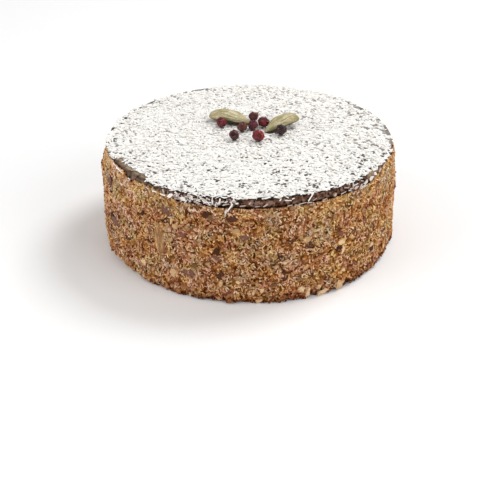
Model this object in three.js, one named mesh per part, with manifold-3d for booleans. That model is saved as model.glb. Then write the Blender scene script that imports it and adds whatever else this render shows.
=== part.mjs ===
// A round fruit cake. A pressed body of chopped nuts, cereal and dried fruit carries a dark icing slab
// that runs right across it. Desiccated coconut covers the slab, and eight dried berries and two green
// seeds lie on the coconut like a sprig of holly.
// Millimetres, +Z up. The origin is the centre of the flat underside, and -Y is the front.

import * as THREE from "three";
import Module from "manifold-3d";
import { ImprovedNoise } from "three/addons/math/ImprovedNoise.js";
import { mergeVertices } from "three/addons/utils/BufferGeometryUtils.js";

// Driving dimensions.
const CRUMB_RADIUS = 59.2; // middle of the crags on the crumb side
const CRUMB_HEIGHT = 39.3; // underside to the face under the icing
const CRAG_DEPTH = 0.8; // how far the highest crags stand proud of the crumb side
const LIP_RISE = 3.8; // highest that crumbs climb round the edge of the icing
const LIP_WIDTH = 0.8; // thickness of that climbing crumb
const BULGE = 1.2; // how far the body swells at its left, and less than half as far at its right
const ICING_THICKNESS = 4.1; // dark slab, without its coconut
const COCONUT_DEPTH = 0.8; // height of the coconut's bumps on the slab
const CROWN = 0.5; // how much higher the middle of the cake's top is than its edge
const GAP = 0.3; // left between separate pieces

const ICING_RADIUS = CRUMB_RADIUS - LIP_WIDTH - GAP;
const ICING_FLOOR = CRUMB_HEIGHT + GAP;
const ICING_TOP = ICING_FLOOR + ICING_THICKNESS;

// Facets.
const ICING_RINGS = 20; // rings of the icing's top; each has six more corners than the one inside it
const RIM_CORNERS = 6 * ICING_RINGS;
const SIDE_ROWS = 9; // rows of facets up the crumb side

const FULL_TURN = 2 * Math.PI;
const GOLDEN_ANGLE = Math.PI * (3 - Math.sqrt(5));
const GOLDEN_SHARE = (Math.sqrt(5) - 1) / 2;
const degrees = THREE.MathUtils.degToRad;
const lerp = THREE.MathUtils.lerp;

const wasm = await Module();
wasm.setup();

const perlin = new ImprovedNoise();

// Smooth noise from -1 to 1, whose bumps are about as wide as size.
function bumps(x, y, z, size) {
  return perlin.noise(x / size + 7.31, y / size + 2.17, z / size + 5.73);
}

// A repeatable source of random numbers from 0 to 1.
function seededDraw(seed) {
  let state = seed >>> 0;
  return () => {
    state = (state + 0x6d2b79f5) >>> 0;
    let mixed = Math.imul(state ^ (state >>> 15), 1 | state);
    mixed = (mixed + Math.imul(mixed ^ (mixed >>> 7), 61 | mixed)) ^ mixed;
    return ((mixed ^ (mixed >>> 14)) >>> 0) / 2 ** 32;
  };
}

// Moves each corner of a geometry to where the function puts it.
function reshape(geometry, move) {
  const corners = geometry.getAttribute("position");
  const corner = new THREE.Vector3();
  for (let i = 0; i < corners.count; i++) {
    move(corner.fromBufferAttribute(corners, i));
    corners.setXYZ(i, corner.x, corner.y, corner.z);
  }
  return geometry;
}

// A closed geometry as a solid that can be joined to others.
function solidFrom(geometry) {
  const bare = geometry.clone();
  bare.deleteAttribute("normal");
  bare.deleteAttribute("uv");
  const merged = mergeVertices(bare, 1e-3);
  return new wasm.Manifold(
    new wasm.Mesh({
      numProp: 3,
      vertProperties: new Float32Array(merged.getAttribute("position").array),
      triVerts: new Uint32Array(merged.index.array),
    }),
  );
}

// A solid's outer skin as a flat-shaded geometry, without sealed hollows and loose scraps.
function geometryFrom(solid) {
  const [whole] = solid.decompose().sort((a, b) => b.volume() - a.volume());
  const mesh = whole.getMesh();
  const indexed = new THREE.BufferGeometry()
    .setAttribute("position", new THREE.BufferAttribute(mesh.vertProperties, 3))
    .setIndex(new THREE.BufferAttribute(mesh.triVerts, 1));
  const flat = indexed.toNonIndexed();
  flat.computeVertexNormals();
  return flat;
}

// Joins small pieces to the body that they are stuck to.
function fuse(body, pieces) {
  return geometryFrom(
    pieces.reduce((joined, piece) => joined.add(solidFrom(piece)), solidFrom(body)),
  );
}

// ---- The crumb body ----

// How far the crumb climbs round the icing, from 0 to 1: high at the far left and right of the front,
// half as high as there on a stretch at the left of the front, and low in the middle and behind.
function lipShare(angle) {
  const side = Math.cos(angle);
  const inFront = THREE.MathUtils.smoothstep(-Math.sin(angle), 0.07, 0.24);
  const sideways = THREE.MathUtils.smoothstep(Math.abs(side), 0.75, side < 0 ? 0.83 : 0.9);
  const fromShoulder = Math.abs(THREE.MathUtils.radToDeg(angle) + 137);
  const shoulder = 0.48 * (1 - THREE.MathUtils.smoothstep(fromShoulder, 14, 20));
  const ragged = bumps(9 * Math.cos(angle), 9 * Math.sin(angle), 0, 1.7);
  const climbed = Math.max(0.95 * inFront * sideways, shoulder);
  return THREE.MathUtils.clamp(climbed + 0.18 * ragged, 0.04, 1);
}

// Radial height of the crags at a point of the side.
function crags(x, y, z) {
  return CRAG_DEPTH * (0.6 * bumps(x, y, z, 9.5) + 2 * bumps(x, y, z, 3.1));
}

// How far the side swells at a place: at the left and the right of the cake, but not at its foot.
function swell(angle, z) {
  const toLeft = THREE.MathUtils.smoothstep(Math.cos(angle + degrees(172)), 0.8, 0.97);
  const toRight = 0.4 * THREE.MathUtils.smoothstep(Math.cos(angle), 0.85, 0.97);
  const overFoot = THREE.MathUtils.smoothstep(z, 0, 5);
  const underRim = 1 - 0.7 * THREE.MathUtils.smoothstep(z, 34, CRUMB_HEIGHT);
  return BULGE * Math.max(toLeft, toRight) * overFoot * underRim;
}

function crumbBody() {
  const footRound = 1.6;
  const profile = [
    [0, 0],
    [CRUMB_RADIUS - footRound, 0],
  ];
  for (let row = 0; row <= SIDE_ROWS; row++)
    profile.push([CRUMB_RADIUS, lerp(footRound, CRUMB_HEIGHT - 0.9, row / SIDE_ROWS)]);
  const lipInside = CRUMB_RADIUS - LIP_WIDTH;
  profile.push([CRUMB_RADIUS - 0.1, CRUMB_HEIGHT + 0.7 * LIP_RISE]);
  profile.push([CRUMB_RADIUS - 0.5 * LIP_WIDTH, CRUMB_HEIGHT + LIP_RISE]);
  profile.push([lipInside - 0.05, CRUMB_HEIGHT]);
  profile.push([0, CRUMB_HEIGHT]);

  const turned = new THREE.LatheGeometry(
    profile.map(([radius, height]) => new THREE.Vector2(radius, height)),
    RIM_CORNERS,
  ).rotateX(Math.PI / 2);
  return reshape(turned, (corner) => {
    const radius = Math.hypot(corner.x, corner.y);
    const angle = Math.atan2(corner.y, corner.x);
    if (radius > CRUMB_RADIUS - 0.5 * LIP_WIDTH || (radius > lipInside - 3 && corner.z < 5)) {
      const out = crags(corner.x, corner.y, corner.z) + swell(angle, corner.z);
      const grown = 1 + out / radius;
      corner.x *= grown;
      corner.y *= grown;
    }
    if (corner.z > CRUMB_HEIGHT)
      corner.z = lerp(CRUMB_HEIGHT, corner.z, lipShare(angle));
  });
}

// One bit of the mix, as a crooked stone of the given length, width and depth.
function bit(length, width, depth, seed) {
  return reshape(new THREE.IcosahedronGeometry(1, 0), (corner) => {
    const crooked = 1 + 0.3 * bumps(3 * corner.x + seed, 3 * corner.y, 3 * corner.z, 2.1);
    corner.multiplyScalar(crooked);
    corner.multiply(new THREE.Vector3(0.5 * length, 0.5 * width, 0.5 * depth));
  });
}

// Lays a geometry on the crumb side: its length along the side, its depth along the radius.
function onSide(geometry, angle, height, sunk, spin) {
  return geometry
    .rotateZ(spin)
    .rotateX(Math.PI / 2)
    .rotateZ(Math.PI / 2)
    .translate(CRUMB_RADIUS + swell(angle, height) - sunk, 0, height)
    .rotateZ(angle);
}

// Pieces that end below the underside are trimmed flat at it.
function standOnFloor(geometry) {
  return reshape(geometry, (corner) => {
    corner.z = Math.max(corner.z, 0);
  });
}

// The kinds of bits that stand out of the crumb side, the largest first: how many there are, their
// size, the band of the side they lie in, and how deep their middles are sunk in it.
const SIDE_BITS = [
  { count: 18, length: 4.2, width: 3.4, depth: 2.8, low: 5, high: 35, sunk: 0.55 }, // dried fruit
  { count: 18, length: 4.6, width: 3.2, depth: 1.7, low: 4, high: 36, sunk: 0.1 }, // cereal flakes
  { count: 24, length: 3.8, width: 3.1, depth: 2.9, low: 1, high: 3.4, sunk: 0.55 }, // nuts at the foot
];

function sideBits() {
  const draw = seededDraw(2024);
  const spread = (size) => size * lerp(0.8, 1.25, draw());
  return SIDE_BITS.flatMap(({ count, length, width, depth, low, high, sunk }, kind) =>
    Array.from({ length: count }, (_, i) => {
      const angle = GOLDEN_ANGLE * (i + 0.37 * kind) + degrees(8) * (draw() - 0.5);
      const height = lerp(low, high, ((i + 1) * GOLDEN_SHARE) % 1);
      const stone = bit(spread(length), spread(width), spread(depth), 11 * kind + i);
      return standOnFloor(onSide(stone, angle, height, sunk, Math.PI * draw()));
    }),
  );
}

// A pale almond sliver that lies upright on the front of the side, its point down.
function almondSliver() {
  const length = 14.2;
  const width = 3.6;
  const sliver = reshape(new THREE.SphereGeometry(1, 10, 8).rotateZ(Math.PI / 2), (corner) => {
    const taper = 1 - 0.35 * corner.x;
    corner.set(0.5 * length * corner.x, 0.5 * width * taper * corner.y, 0.9 * taper * corner.z);
  });
  return onSide(sliver, degrees(-125), 20.8, 0.1, degrees(-77));
}

// ---- Coconut ----

// A bent strip of desiccated coconut. It lies along X and bends up and sideways.
function shred(length, width, thickness, rise, swerve) {
  return reshape(new THREE.BoxGeometry(length, width, thickness, 2, 1, 1), (corner) => {
    const along = (2 * corner.x) / length;
    const slim = 1 - 0.45 * along * along;
    corner.y = corner.y * slim + swerve * along * along;
    corner.z = corner.z * slim - rise * along * along;
  });
}

// Shreds that fell on the narrow ledge in front of the icing and over the shoulder under it.
function ledgeShreds() {
  const draw = seededDraw(77);
  const count = 11;
  return Array.from({ length: count }, (_, i) => {
    const angle = lerp(degrees(-146), degrees(-34), (i + 0.5 * draw()) / (count - 1));
    const strip = shred(lerp(2.2, 3.8, draw()), 0.8, 0.6, 0.15, 0.3 * (draw() - 0.5));
    const height = CRUMB_HEIGHT - lerp(0.4, 2.2, draw());
    return onSide(strip, angle, height, -0.3, degrees(70) * (draw() - 0.5));
  });
}

// ---- The icing, with the coconut on it ----

// Height of the cake's top without the coconut's bumps.
function topHeight(x, y) {
  const share = Math.hypot(x, y) / ICING_RADIUS;
  return ICING_TOP + CROWN * (1 - share * share) + 0.22 * bumps(x, y, 0, 19);
}

// Outer radius of the icing slab, which was spread by hand.
function icingRadius(angle) {
  return ICING_RADIUS - 0.25 + 0.25 * bumps(8 * Math.cos(angle), 8 * Math.sin(angle), 4, 2.3);
}

function icingSlab() {
  const positions = [];
  const triangles = [];
  const put = (radius, angle, z) => {
    positions.push(radius * Math.cos(angle), radius * Math.sin(angle), z);
    return positions.length / 3 - 1;
  };
  const ring = (count, corner) =>
    Array.from({ length: count }, (_, i) => corner((i * FULL_TURN) / count));

  // The top: each ring has six more corners than the one inside it, so the facets stay alike.
  let inner = [put(0, 0, topHeight(0, 0))];
  for (let k = 1; k <= ICING_RINGS; k++) {
    const share = k / ICING_RINGS;
    const outer = ring(6 * k, (angle) => {
      const radius = share * (icingRadius(angle) - 0.35);
      const [x, y] = [radius * Math.cos(angle), radius * Math.sin(angle)];
      const clear = toppings.every(({ at, reach }) => Math.hypot(x - at[0], y - at[1]) > reach);
      const rough = clear ? COCONUT_DEPTH * bumps(2 * x, 2 * y, 3, 2.9) : 0;
      const rimDrop = k === ICING_RINGS ? 0.25 : 0;
      return put(radius, angle, topHeight(x, y) + rough - rimDrop);
    });
    for (let sector = 0; sector < 6; sector++)
      for (let j = 0; j < k; j++) {
        const near = inner[(sector * (k - 1) + j) % inner.length];
        const next = inner[(sector * (k - 1) + j + 1) % inner.length];
        const left = outer[sector * k + j];
        const right = outer[(sector * k + j + 1) % outer.length];
        triangles.push(near, left, right);
        if (j < k - 1) triangles.push(near, right, next);
      }
    inner = outer;
  }

  // The wall, from the rim down, and the flat underside.
  const levels = [
    { inset: 0, height: ICING_TOP - 0.9 },
    { inset: 0.2, height: ICING_FLOOR + 1.3 },
    { inset: 0.1, height: ICING_FLOOR + 0.5 },
    { inset: 0.6, height: ICING_FLOOR },
  ];
  for (const { inset, height } of levels) {
    const lower = ring(RIM_CORNERS, (angle) => put(icingRadius(angle) - inset, angle, height));
    inner.forEach((corner, i) => {
      const next = (i + 1) % RIM_CORNERS;
      triangles.push(corner, lower[i], lower[next], corner, lower[next], inner[next]);
    });
    inner = lower;
  }
  const middle = put(0, 0, ICING_FLOOR);
  inner.forEach((corner, i) => triangles.push(middle, inner[(i + 1) % RIM_CORNERS], corner));

  return new THREE.BufferGeometry()
    .setAttribute("position", new THREE.Float32BufferAttribute(positions, 3))
    .setIndex(triangles);
}

// Coconut on the top: the longest shreds, spread on a spiral, clear of the toppings.
function topShreds() {
  const draw = seededDraw(5);
  const count = 34;
  return Array.from({ length: count }, (_, i) => {
    const radius = (ICING_RADIUS - 3) * Math.sqrt((i + 0.5) / count);
    const angle = i * GOLDEN_ANGLE;
    const [x, y] = [radius * Math.cos(angle), radius * Math.sin(angle)];
    const strip = shred(lerp(2.6, 3.8, draw()), 0.9, 0.7, lerp(0.1, 0.4, draw()), 0.4 * (draw() - 0.5));
    return { x, y, strip: strip.rotateZ(FULL_TURN * draw()).translate(x, y, topHeight(x, y) + 0.3) };
  })
    .filter(({ x, y }) =>
      toppings.every(({ at, reach }) => Math.hypot(x - at[0], y - at[1]) > reach + 2.2),
    )
    .map(({ strip }) => strip);
}

// Coconut on the rim: shreds that lean over the edge of the icing.
function rimShreds() {
  const draw = seededDraw(31);
  const count = 22;
  return Array.from({ length: count }, (_, i) => {
    const angle = ((i + 0.6 * draw()) * FULL_TURN) / count;
    return shred(lerp(2.2, 3.2, draw()), 0.8, 0.6, 0.35, 0.3 * (draw() - 0.5))
      .rotateZ(degrees(60) * (draw() - 0.5) + Math.PI / 2)
      .translate(ICING_RADIUS - 0.55, 0, ICING_TOP - lerp(0, 0.5, draw()))
      .rotateZ(angle);
  });
}

// ---- The toppings ----

// The eight dried berries: plan position of each centre, and its radius.
const BERRIES = [
  { at: [-11.8, 6.6], radius: 2.25 },
  { at: [-6.3, -6.2], radius: 2.1 },
  { at: [-3.2, 2.2], radius: 2.15 },
  { at: [1.4, 13.3], radius: 2.15 },
  { at: [1.1, 3.9], radius: 2.2 },
  { at: [5.7, 6.3], radius: 2.4 },
  { at: [3.2, -8.0], radius: 2.5 },
  { at: [12.6, -1.7], radius: 2.3 },
];

// The two green seeds: plan position of the middle, width, how much slimmer the pointed end is, which
// way it is turned, how much the blunt end is lifted, and how high the back is arched.
const SEED_LENGTH = 17.2;
const SEED_DEPTH = 5.2;
const SEEDS = [
  { name: "seed_left", at: [-8.7, 12.2], width: 7.4, taper: 0.22, turn: -14, lift: 5, arch: 1.3 },
  { name: "seed_right", at: [13.0, 5.6], width: 6.6, taper: 0.36, turn: 217, lift: 7, arch: 1.4 },
];

// Every topping's plan position, and the radius round it that loose coconut keeps clear of.
const toppings = [
  ...BERRIES.map(({ at, radius }) => ({ at, reach: radius + 1.2 })),
  ...SEEDS.map(({ at }) => ({ at, reach: 0.5 * SEED_LENGTH + 0.4 })),
];

// Lets a topping down at its plan position until it all but touches the cake's top.
function settle(geometry, [x, y]) {
  geometry.translate(x, y, 0);
  let clearance = Infinity;
  reshape(geometry, (corner) => {
    clearance = Math.min(clearance, corner.z - topHeight(corner.x, corner.y));
  });
  return geometry.translate(0, 0, 0.5 * GAP - clearance);
}

// A berry that has dried unevenly: a little flat, dented, with a sunken crown on one side.
function berry({ at, radius }, i) {
  const crown = new THREE.Vector3(Math.cos(2.4 * i), Math.sin(2.4 * i), 0.7).normalize();
  const skin = reshape(new THREE.IcosahedronGeometry(1, 2), (corner) => {
    const nearCrown = THREE.MathUtils.smoothstep(corner.dot(crown), 0.8, 1);
    const dent = 0.07 * bumps(2 * corner.x + 5 * i, 2 * corner.y, 2 * corner.z, 1.1);
    corner.multiplyScalar(radius * (1 + dent - 0.14 * nearCrown));
    corner.z *= 0.94;
  });
  return settle(skin, at);
}

// A plump ribbed seed: blunt at one end, pointed at the other (+X), arched along its back.
function seed({ at, width, taper, turn, lift, arch }) {
  const ball = new THREE.SphereGeometry(1, 14, 10).rotateZ(-Math.PI / 2);
  const body = reshape(ball, (corner) => {
    const along = corner.x;
    const slim = 1 - taper * THREE.MathUtils.smoothstep(along, 0.3, 1);
    const blunt = along < 0 ? Math.sqrt(1 + (along * along) / (1 - along)) : 1;
    const rib = 1 + 0.035 * Math.cos(8 * Math.atan2(corner.z, corner.y));
    const belly = corner.z < 0 ? 0.8 : 1;
    corner.y *= 0.5 * width * slim * blunt * rib;
    corner.z *= 0.5 * SEED_DEPTH * slim * blunt * rib * belly;
    corner.x *= 0.5 * SEED_LENGTH * (1 + 0.06 * Math.max(0, along) ** 6);
    corner.z -= arch * along * along;
  });
  return settle(body.rotateY(degrees(lift)).rotateZ(degrees(turn)), at);
}

// ---- The cake ----

const matte = (color, roughness) =>
  new THREE.MeshStandardMaterial({ color, roughness, metalness: 0, flatShading: true });
const crumbFinish = matte(0xb07c4a, 0.95);
const coconutFinish = matte(0xf1efea, 0.9);
const berryFinish = matte(0x6a2222, 0.5);
const seedFinish = matte(0xb3aa78, 0.7);

const cake = new THREE.Group();
cake.name = "fruit_cake";

function addPiece(name, geometry, finish) {
  const piece = new THREE.Mesh(geometry, finish);
  piece.name = name;
  cake.add(piece);
}

addPiece(
  "crumb_body",
  fuse(crumbBody(), [almondSliver(), ...sideBits(), ...ledgeShreds()]),
  crumbFinish,
);
addPiece("icing_with_coconut", fuse(icingSlab(), [...topShreds(), ...rimShreds()]), coconutFinish);
BERRIES.forEach((spec, i) => addPiece(`berry_${i + 1}`, berry(spec, i), berryFinish));
SEEDS.forEach((spec) => addPiece(spec.name, seed(spec), seedFinish));

export default cake;
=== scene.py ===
"""A round fruit cake, dressed for a plain studio.

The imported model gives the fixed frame: metres, +Z up, the origin in the middle of the flat underside
and -Y in front. A pressed body of chopped nuts, cereal and dried fruit carries a dark icing slab.
Desiccated coconut covers the slab, and eight dried berries and two green seeds lie on it like a sprig
of holly.
"""

import logging
import math
from dataclasses import dataclass, field
from enum import Enum

import bmesh
import bpy
import numpy as np
from mathutils import Euler, Matrix, Vector, kdtree, noise

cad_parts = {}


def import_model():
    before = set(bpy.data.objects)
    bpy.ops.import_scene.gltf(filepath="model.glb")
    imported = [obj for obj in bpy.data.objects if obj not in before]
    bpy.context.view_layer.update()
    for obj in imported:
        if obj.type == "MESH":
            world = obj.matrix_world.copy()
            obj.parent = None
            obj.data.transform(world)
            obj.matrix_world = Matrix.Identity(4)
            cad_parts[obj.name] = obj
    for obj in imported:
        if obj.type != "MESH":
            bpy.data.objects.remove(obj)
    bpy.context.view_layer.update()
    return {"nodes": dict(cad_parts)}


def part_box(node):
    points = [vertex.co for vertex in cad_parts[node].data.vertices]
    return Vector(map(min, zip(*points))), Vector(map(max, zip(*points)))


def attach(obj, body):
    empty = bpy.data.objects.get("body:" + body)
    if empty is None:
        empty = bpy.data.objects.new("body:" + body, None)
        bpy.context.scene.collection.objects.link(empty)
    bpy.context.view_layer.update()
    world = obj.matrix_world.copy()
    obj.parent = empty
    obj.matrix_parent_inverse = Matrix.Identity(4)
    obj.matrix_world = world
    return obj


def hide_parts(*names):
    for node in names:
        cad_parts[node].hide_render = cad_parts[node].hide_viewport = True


LOG = logging.getLogger("fruit_cake")
MM = 0.001
FULL_TURN = 2 * math.pi
BERRY_COUNT = 8
CROOKEDNESS_SEED = 5
GOLDEN_RATIO = 0.618
SEED_TURNS = {"seed_left": -14.0, "seed_right": 217.0}
Colour = tuple[float, float, float]
Span = tuple[float, float]


def screen(red: int, green: int, blue: int) -> Colour:
    """Turns a colour as seen on a screen into the linear one that shaders use.

    Args:
        red: Red, from 0 to 255.
        green: Green, from 0 to 255.
        blue: Blue, from 0 to 255.

    Returns:
        The linear colour, each part from 0 to 1.
    """

    def linear(value: float) -> float:
        """Linear light of one channel."""
        share = value / 255
        return share / 12.92 if share <= 0.04045 else ((share + 0.055) / 1.055) ** 2.4

    return linear(red), linear(green), linear(blue)


def lerp(low: float, high: float, share: float) -> float:
    """The value a share of the way from low to high."""
    return low + (high - low) * share


def smooth(value: float, low: float, high: float) -> float:
    """A soft step from 0 at low to 1 at high."""
    share = min(1.0, max(0.0, (value - low) / (high - low)))
    return share * share * (3 - 2 * share)


def round_places(
    radii: np.ndarray | float, angles: np.ndarray, heights: np.ndarray
) -> np.ndarray:
    """Points round the cake's axis, from radii, angles in radians and heights, one row for each."""
    return np.stack([radii * np.cos(angles), radii * np.sin(angles), heights], axis=1)


# Sizes of the whole cake


@dataclass(frozen=True)
class Scrape:
    """A stretch of the icing's edge that lost its coconut.

    Attributes:
        azimuth: Its middle, in degrees from +X.
        reach: How far it goes to either side, in degrees.
        inward: How far in from the edge it goes, in millimetres.
    """

    azimuth: float
    reach: float
    inward: float

    def share(self, x: float, y: float, inward: float) -> float:
        """How bare a place is.

        Args:
            x: Place from left to right.
            y: Place from front to back.
            inward: How far in from the icing's edge it lies, in millimetres.

        Returns:
            From 0, untouched, to 1, bare.
        """
        away = math.remainder(math.atan2(y, x) - math.radians(self.azimuth), FULL_TURN)
        along = 1 - smooth(abs(math.degrees(away)), 0.6 * self.reach, self.reach)
        return along * (1 - smooth(inward, 0.7 * self.inward, 1.2 * self.inward))


@dataclass(frozen=True)
class Footprint:
    """The ground under a topping, kept clear of coconut so that the dark icing there is painted
    contact shadow: an ellipse, in metres and degrees.
    """

    x: float
    y: float
    length: float
    width: float
    turn: float = 0.0

    def share(self, x: float, y: float) -> float:
        """How far under the topping a place is.

        Args:
            x: Place from left to right.
            y: Place from front to back.

        Returns:
            From 0, beside it, to 1, under it.
        """
        turn = math.radians(self.turn)
        east, north = x - self.x, y - self.y
        along = (east * math.cos(turn) + north * math.sin(turn)) / (0.5 * self.length)
        across = (north * math.cos(turn) - east * math.sin(turn)) / (0.5 * self.width)
        return 1 - smooth(math.hypot(along, across), 0.85, 1.05)


BACK_SCRAPES = (
    Scrape(34, 5, 0.9),
    Scrape(20, 8, 1.3),
    Scrape(5, 7, 1.5),
    Scrape(-9, 7, 1.4),
    Scrape(140, 4, 1.0),
    Scrape(158, 4, 1.0),
    Scrape(174, 5, 1.2),
)


class Holes:
    """Small gaps in the coconut, through which the icing shows.

    They are smallest left of the middle, and largest near the left and right edges.
    """

    def __init__(self, count: int, radius: float) -> None:
        """Draws the gaps.

        Args:
            count: How many there are.
            radius: The radius that they are spread over, in metres.
        """
        draw = np.random.default_rng(41)
        reach = radius * np.sqrt(draw.uniform(0, 1, count))
        angles = draw.uniform(0, FULL_TURN, count)
        places = round_places(reach, angles, 0 * reach)
        x, y = places[:, 0], places[:, 1]
        calm_x, calm_width, calm_depth = -25 * MM, 24 * MM, 34 * MM
        calm = np.exp(-(((x - calm_x) / calm_width) ** 2) - (y / calm_depth) ** 2)
        busy_from = np.where(x < 0, 0.74, 0.6)
        busy = np.clip((np.abs(x) / radius - busy_from) / 0.22, 0, 1)
        self.sizes = (0.24 + 0.24 * draw.uniform(0, 1, count)) * MM
        self.sizes *= 1 - 0.55 * calm + 0.5 * busy
        self.tree = kdtree.KDTree(count)
        for i, place in enumerate(places):
            self.tree.insert(place, i)
        self.tree.balance()

    def share(self, x: float, y: float) -> float:
        """How far inside a gap a place is, from 0 to 1."""
        _, i, away = self.tree.find((x, y, 0.0))
        return 1 - smooth(away, self.sizes[i], self.sizes[i] + 0.25 * MM)


@dataclass(frozen=True)
class CakeMeasures:
    """Sizes of the whole cake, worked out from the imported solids, in metres."""

    crumb_radius: float
    crumb_top: float
    lip_rise: float
    icing_floor: float
    icing_radius: float
    icing_top: float
    footprints: tuple[Footprint, ...]
    holes: Holes
    bulge: float = 1.2 * MM
    scrapes: tuple[Scrape, ...] = (Scrape(-145, 15, 3.2), Scrape(115, 9, 1.9), *BACK_SCRAPES)
    wall_smear: Scrape = Scrape(-33, 8, 1.5)

    @classmethod
    def from_frame(cls) -> "CakeMeasures":
        """Reads the solids' boxes.

        Returns:
            The sizes that every part of the scene is built from.
        """
        crag = 0.9 * MM
        coconut = 1.05 * MM
        gap, hole_count = 0.3 * MM, 1550
        crumb_low, crumb_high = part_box("crumb_body")
        icing_low, icing_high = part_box("icing_with_coconut")
        return cls(
            crumb_radius=(crumb_high.y - crumb_low.y) / 2 - crag,
            crumb_top=icing_low.z - gap,
            lip_rise=crumb_high.z - icing_low.z + gap,
            icing_floor=icing_low.z,
            icing_radius=(icing_high.x - icing_low.x) / 2,
            icing_top=icing_high.z - coconut,
            footprints=cls.under_toppings(),
            holes=Holes(hole_count, (icing_high.x - icing_low.x) / 2),
        )

    @staticmethod
    def under_toppings() -> tuple[Footprint, ...]:
        """Finds the ground under each topping, whose bare dark icing is painted contact shadow; the
        seeds' ones lie a little to the front, so that the shadow shows below them.

        Returns:
            One footprint for each berry, and one for the pointed half of each seed.
        """
        footprints = []
        for i in range(BERRY_COUNT):
            low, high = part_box(f"berry_{i + 1}")
            middle, across = (low + high) / 2, 0.5 * (high.x - low.x)
            footprints.append(Footprint(middle.x, middle.y, across, across))
        along, shadow_shift = 3.2 * MM, 0.6 * MM
        for node, turn in SEED_TURNS.items():
            low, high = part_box(node)
            footprints.append(
                Footprint(
                    (low.x + high.x) / 2 + along * math.cos(math.radians(turn)),
                    (low.y + high.y) / 2 + along * math.sin(math.radians(turn)) - shadow_shift,
                    length=10.5 * MM,
                    width=5.6 * MM,
                    turn=turn,
                )
            )
        return tuple(footprints)

    def top_height(self, x: float, y: float) -> float:
        """Height of the icing's top at a place, which is a little crowned and uneven.

        Args:
            x: Place from left to right.
            y: Place from front to back.

        Returns:
            The height over the floor.
        """
        crown = 0.5 * MM
        sway = 0.22 * MM
        share = math.hypot(x, y) / self.icing_radius
        broad = noise.noise(Vector((x, y, 0)) / (19 * MM))
        return self.icing_top + crown * (1 - share * share) + sway * broad

    def lip_height(self, angle: float) -> float:
        """How far the crumb climbs round the icing.

        Args:
            angle: Where round the cake, in radians.

        Returns:
            A height: small in the middle and behind, and high at the left and right of the front.
        """
        side = math.cos(angle)
        shoulder_azimuth = -129
        starts = 0.07 if side < 0 else 0.18
        in_front = 0.95 * smooth(-math.sin(angle), starts, starts + 0.15)
        sideways = in_front * smooth(abs(side), 0.75, 0.83 if side < 0 else 0.9)
        from_shoulder = abs(math.degrees(math.remainder(angle, FULL_TURN)) - shoulder_azimuth)
        shoulder = 0.58 * (1 - smooth(from_shoulder, 8, 13))
        ragged = noise.noise(Vector((5.3 * math.cos(angle), 5.3 * math.sin(angle), 1.7)))
        share = max(sideways, shoulder) + 0.2 * ragged
        return self.lip_rise * min(1.0, max(0.04, share))

    def bareness(self, x: float, y: float) -> float:
        """How bare of coconut the icing's top is at a place.

        Args:
            x: Place from left to right.
            y: Place from front to back.

        Returns:
            From 0, fully covered, to 1: bare at the ragged edge, in scraped places, in holes, and
                under the toppings as painted contact shadow.
        """
        inward = self.inward(x, y, raggedness=0.6)
        climbed = self.lip_height(math.atan2(y, x)) / self.lip_rise
        rim = (1 - smooth(inward, 0.7, 1.7)) * (1 - smooth(climbed, 0.6, 0.8))
        rim *= 1 - smooth(y / self.icing_radius, -0.3, -0.1)
        # Bare icing under the toppings is painted contact shadow.
        under = max(footprint.share(x, y) for footprint in self.footprints)
        return max(rim, self.holes.share(x, y), under, self.scraped(x, y))

    def inward(self, x: float, y: float, raggedness: float) -> float:
        """How many millimetres a place lies in from the icing's edge, made ragged."""
        ragged = noise.noise(Vector((x, y, 0.003)) / (2.6 * MM))
        return (self.icing_radius - math.hypot(x, y)) / MM + raggedness * ragged

    def scraped(self, x: float, y: float) -> float:
        """How much a place was scraped bare, from 0 to 1."""
        inward = self.inward(x, y, raggedness=1.2)
        return max(scrape.share(x, y, inward) for scrape in self.scrapes)

    def smeared(self, point: Vector) -> float:
        """How pale the bare icing is smeared at a point.

        Args:
            point: The point, on the slab.

        Returns:
            From 0, dark, to 1: in a scraped place, most away from the edge, and on the wall at
            the right.
        """
        inward = (self.icing_radius - math.hypot(point.x, point.y)) / MM
        inside = self.scraped(point.x, point.y) * lerp(0.4, 1.0, smooth(inward, 0.8, 1.8))
        return max(inside, self.wall_smear.share(point.x, point.y, inward))

    def crag(self, point: Vector) -> float:
        """How far the crumb side stands out of a true cylinder at a point.

        Args:
            point: The point, on the cylinder.

        Returns:
            The distance, which swings most at the foot: clusters hang over the floor, and the foot
            spreads a little in front.
        """
        height = point.z / MM
        broad = noise.noise(point / (9.5 * MM))
        lumps = noise.noise(point / (3.1 * MM))
        clusters = noise.noise(point / (5.2 * MM) + Vector((4.1, 0.7, 2.3)))
        near_foot = 1 - smooth(height, 3.0, 9.0)
        in_front = smooth(-point.y / math.hypot(point.x, point.y), 0.6, 0.78)
        undercut = lerp(1.1, 0.15, in_front) * (1 - smooth(height, 0.0, 2.4))
        spread = lerp(-0.1, 0.35, in_front)
        out = 0.25 * broad + 0.5 * lumps + near_foot * (1.4 * clusters + spread) - undercut
        return out * MM + self.swell(math.atan2(point.y, point.x), height)

    def swell(self, angle: float, height: float) -> float:
        """How far the side swells at its left and right, but not at its foot.

        Args:
            angle: Where round the cake, in radians.
            height: How high, in millimetres.

        Returns:
            The distance, which is negative at the rounded shoulders of both sides.
        """
        side = math.cos(angle)
        left_azimuth = -172
        to_left = smooth(math.cos(angle - math.radians(left_azimuth)), 0.8, 0.97)
        to_right = 0.4 * smooth(side, 0.85, 0.97)
        over_foot = smooth(height, 0, 5)
        under_rim = 1 - 0.7 * smooth(height, 34, 39.3)
        right_shoulder = smooth(side, 0.8, 0.95) * smooth(height, 26, 37)
        left_shoulder = smooth(-side, 0.8, 0.95) * smooth(height, 33, 41)
        swollen = max(to_left, to_right) * over_foot * under_rim
        return self.bulge * (swollen - 0.7 * max(right_shoulder, left_shoulder))


# Materials


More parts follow.
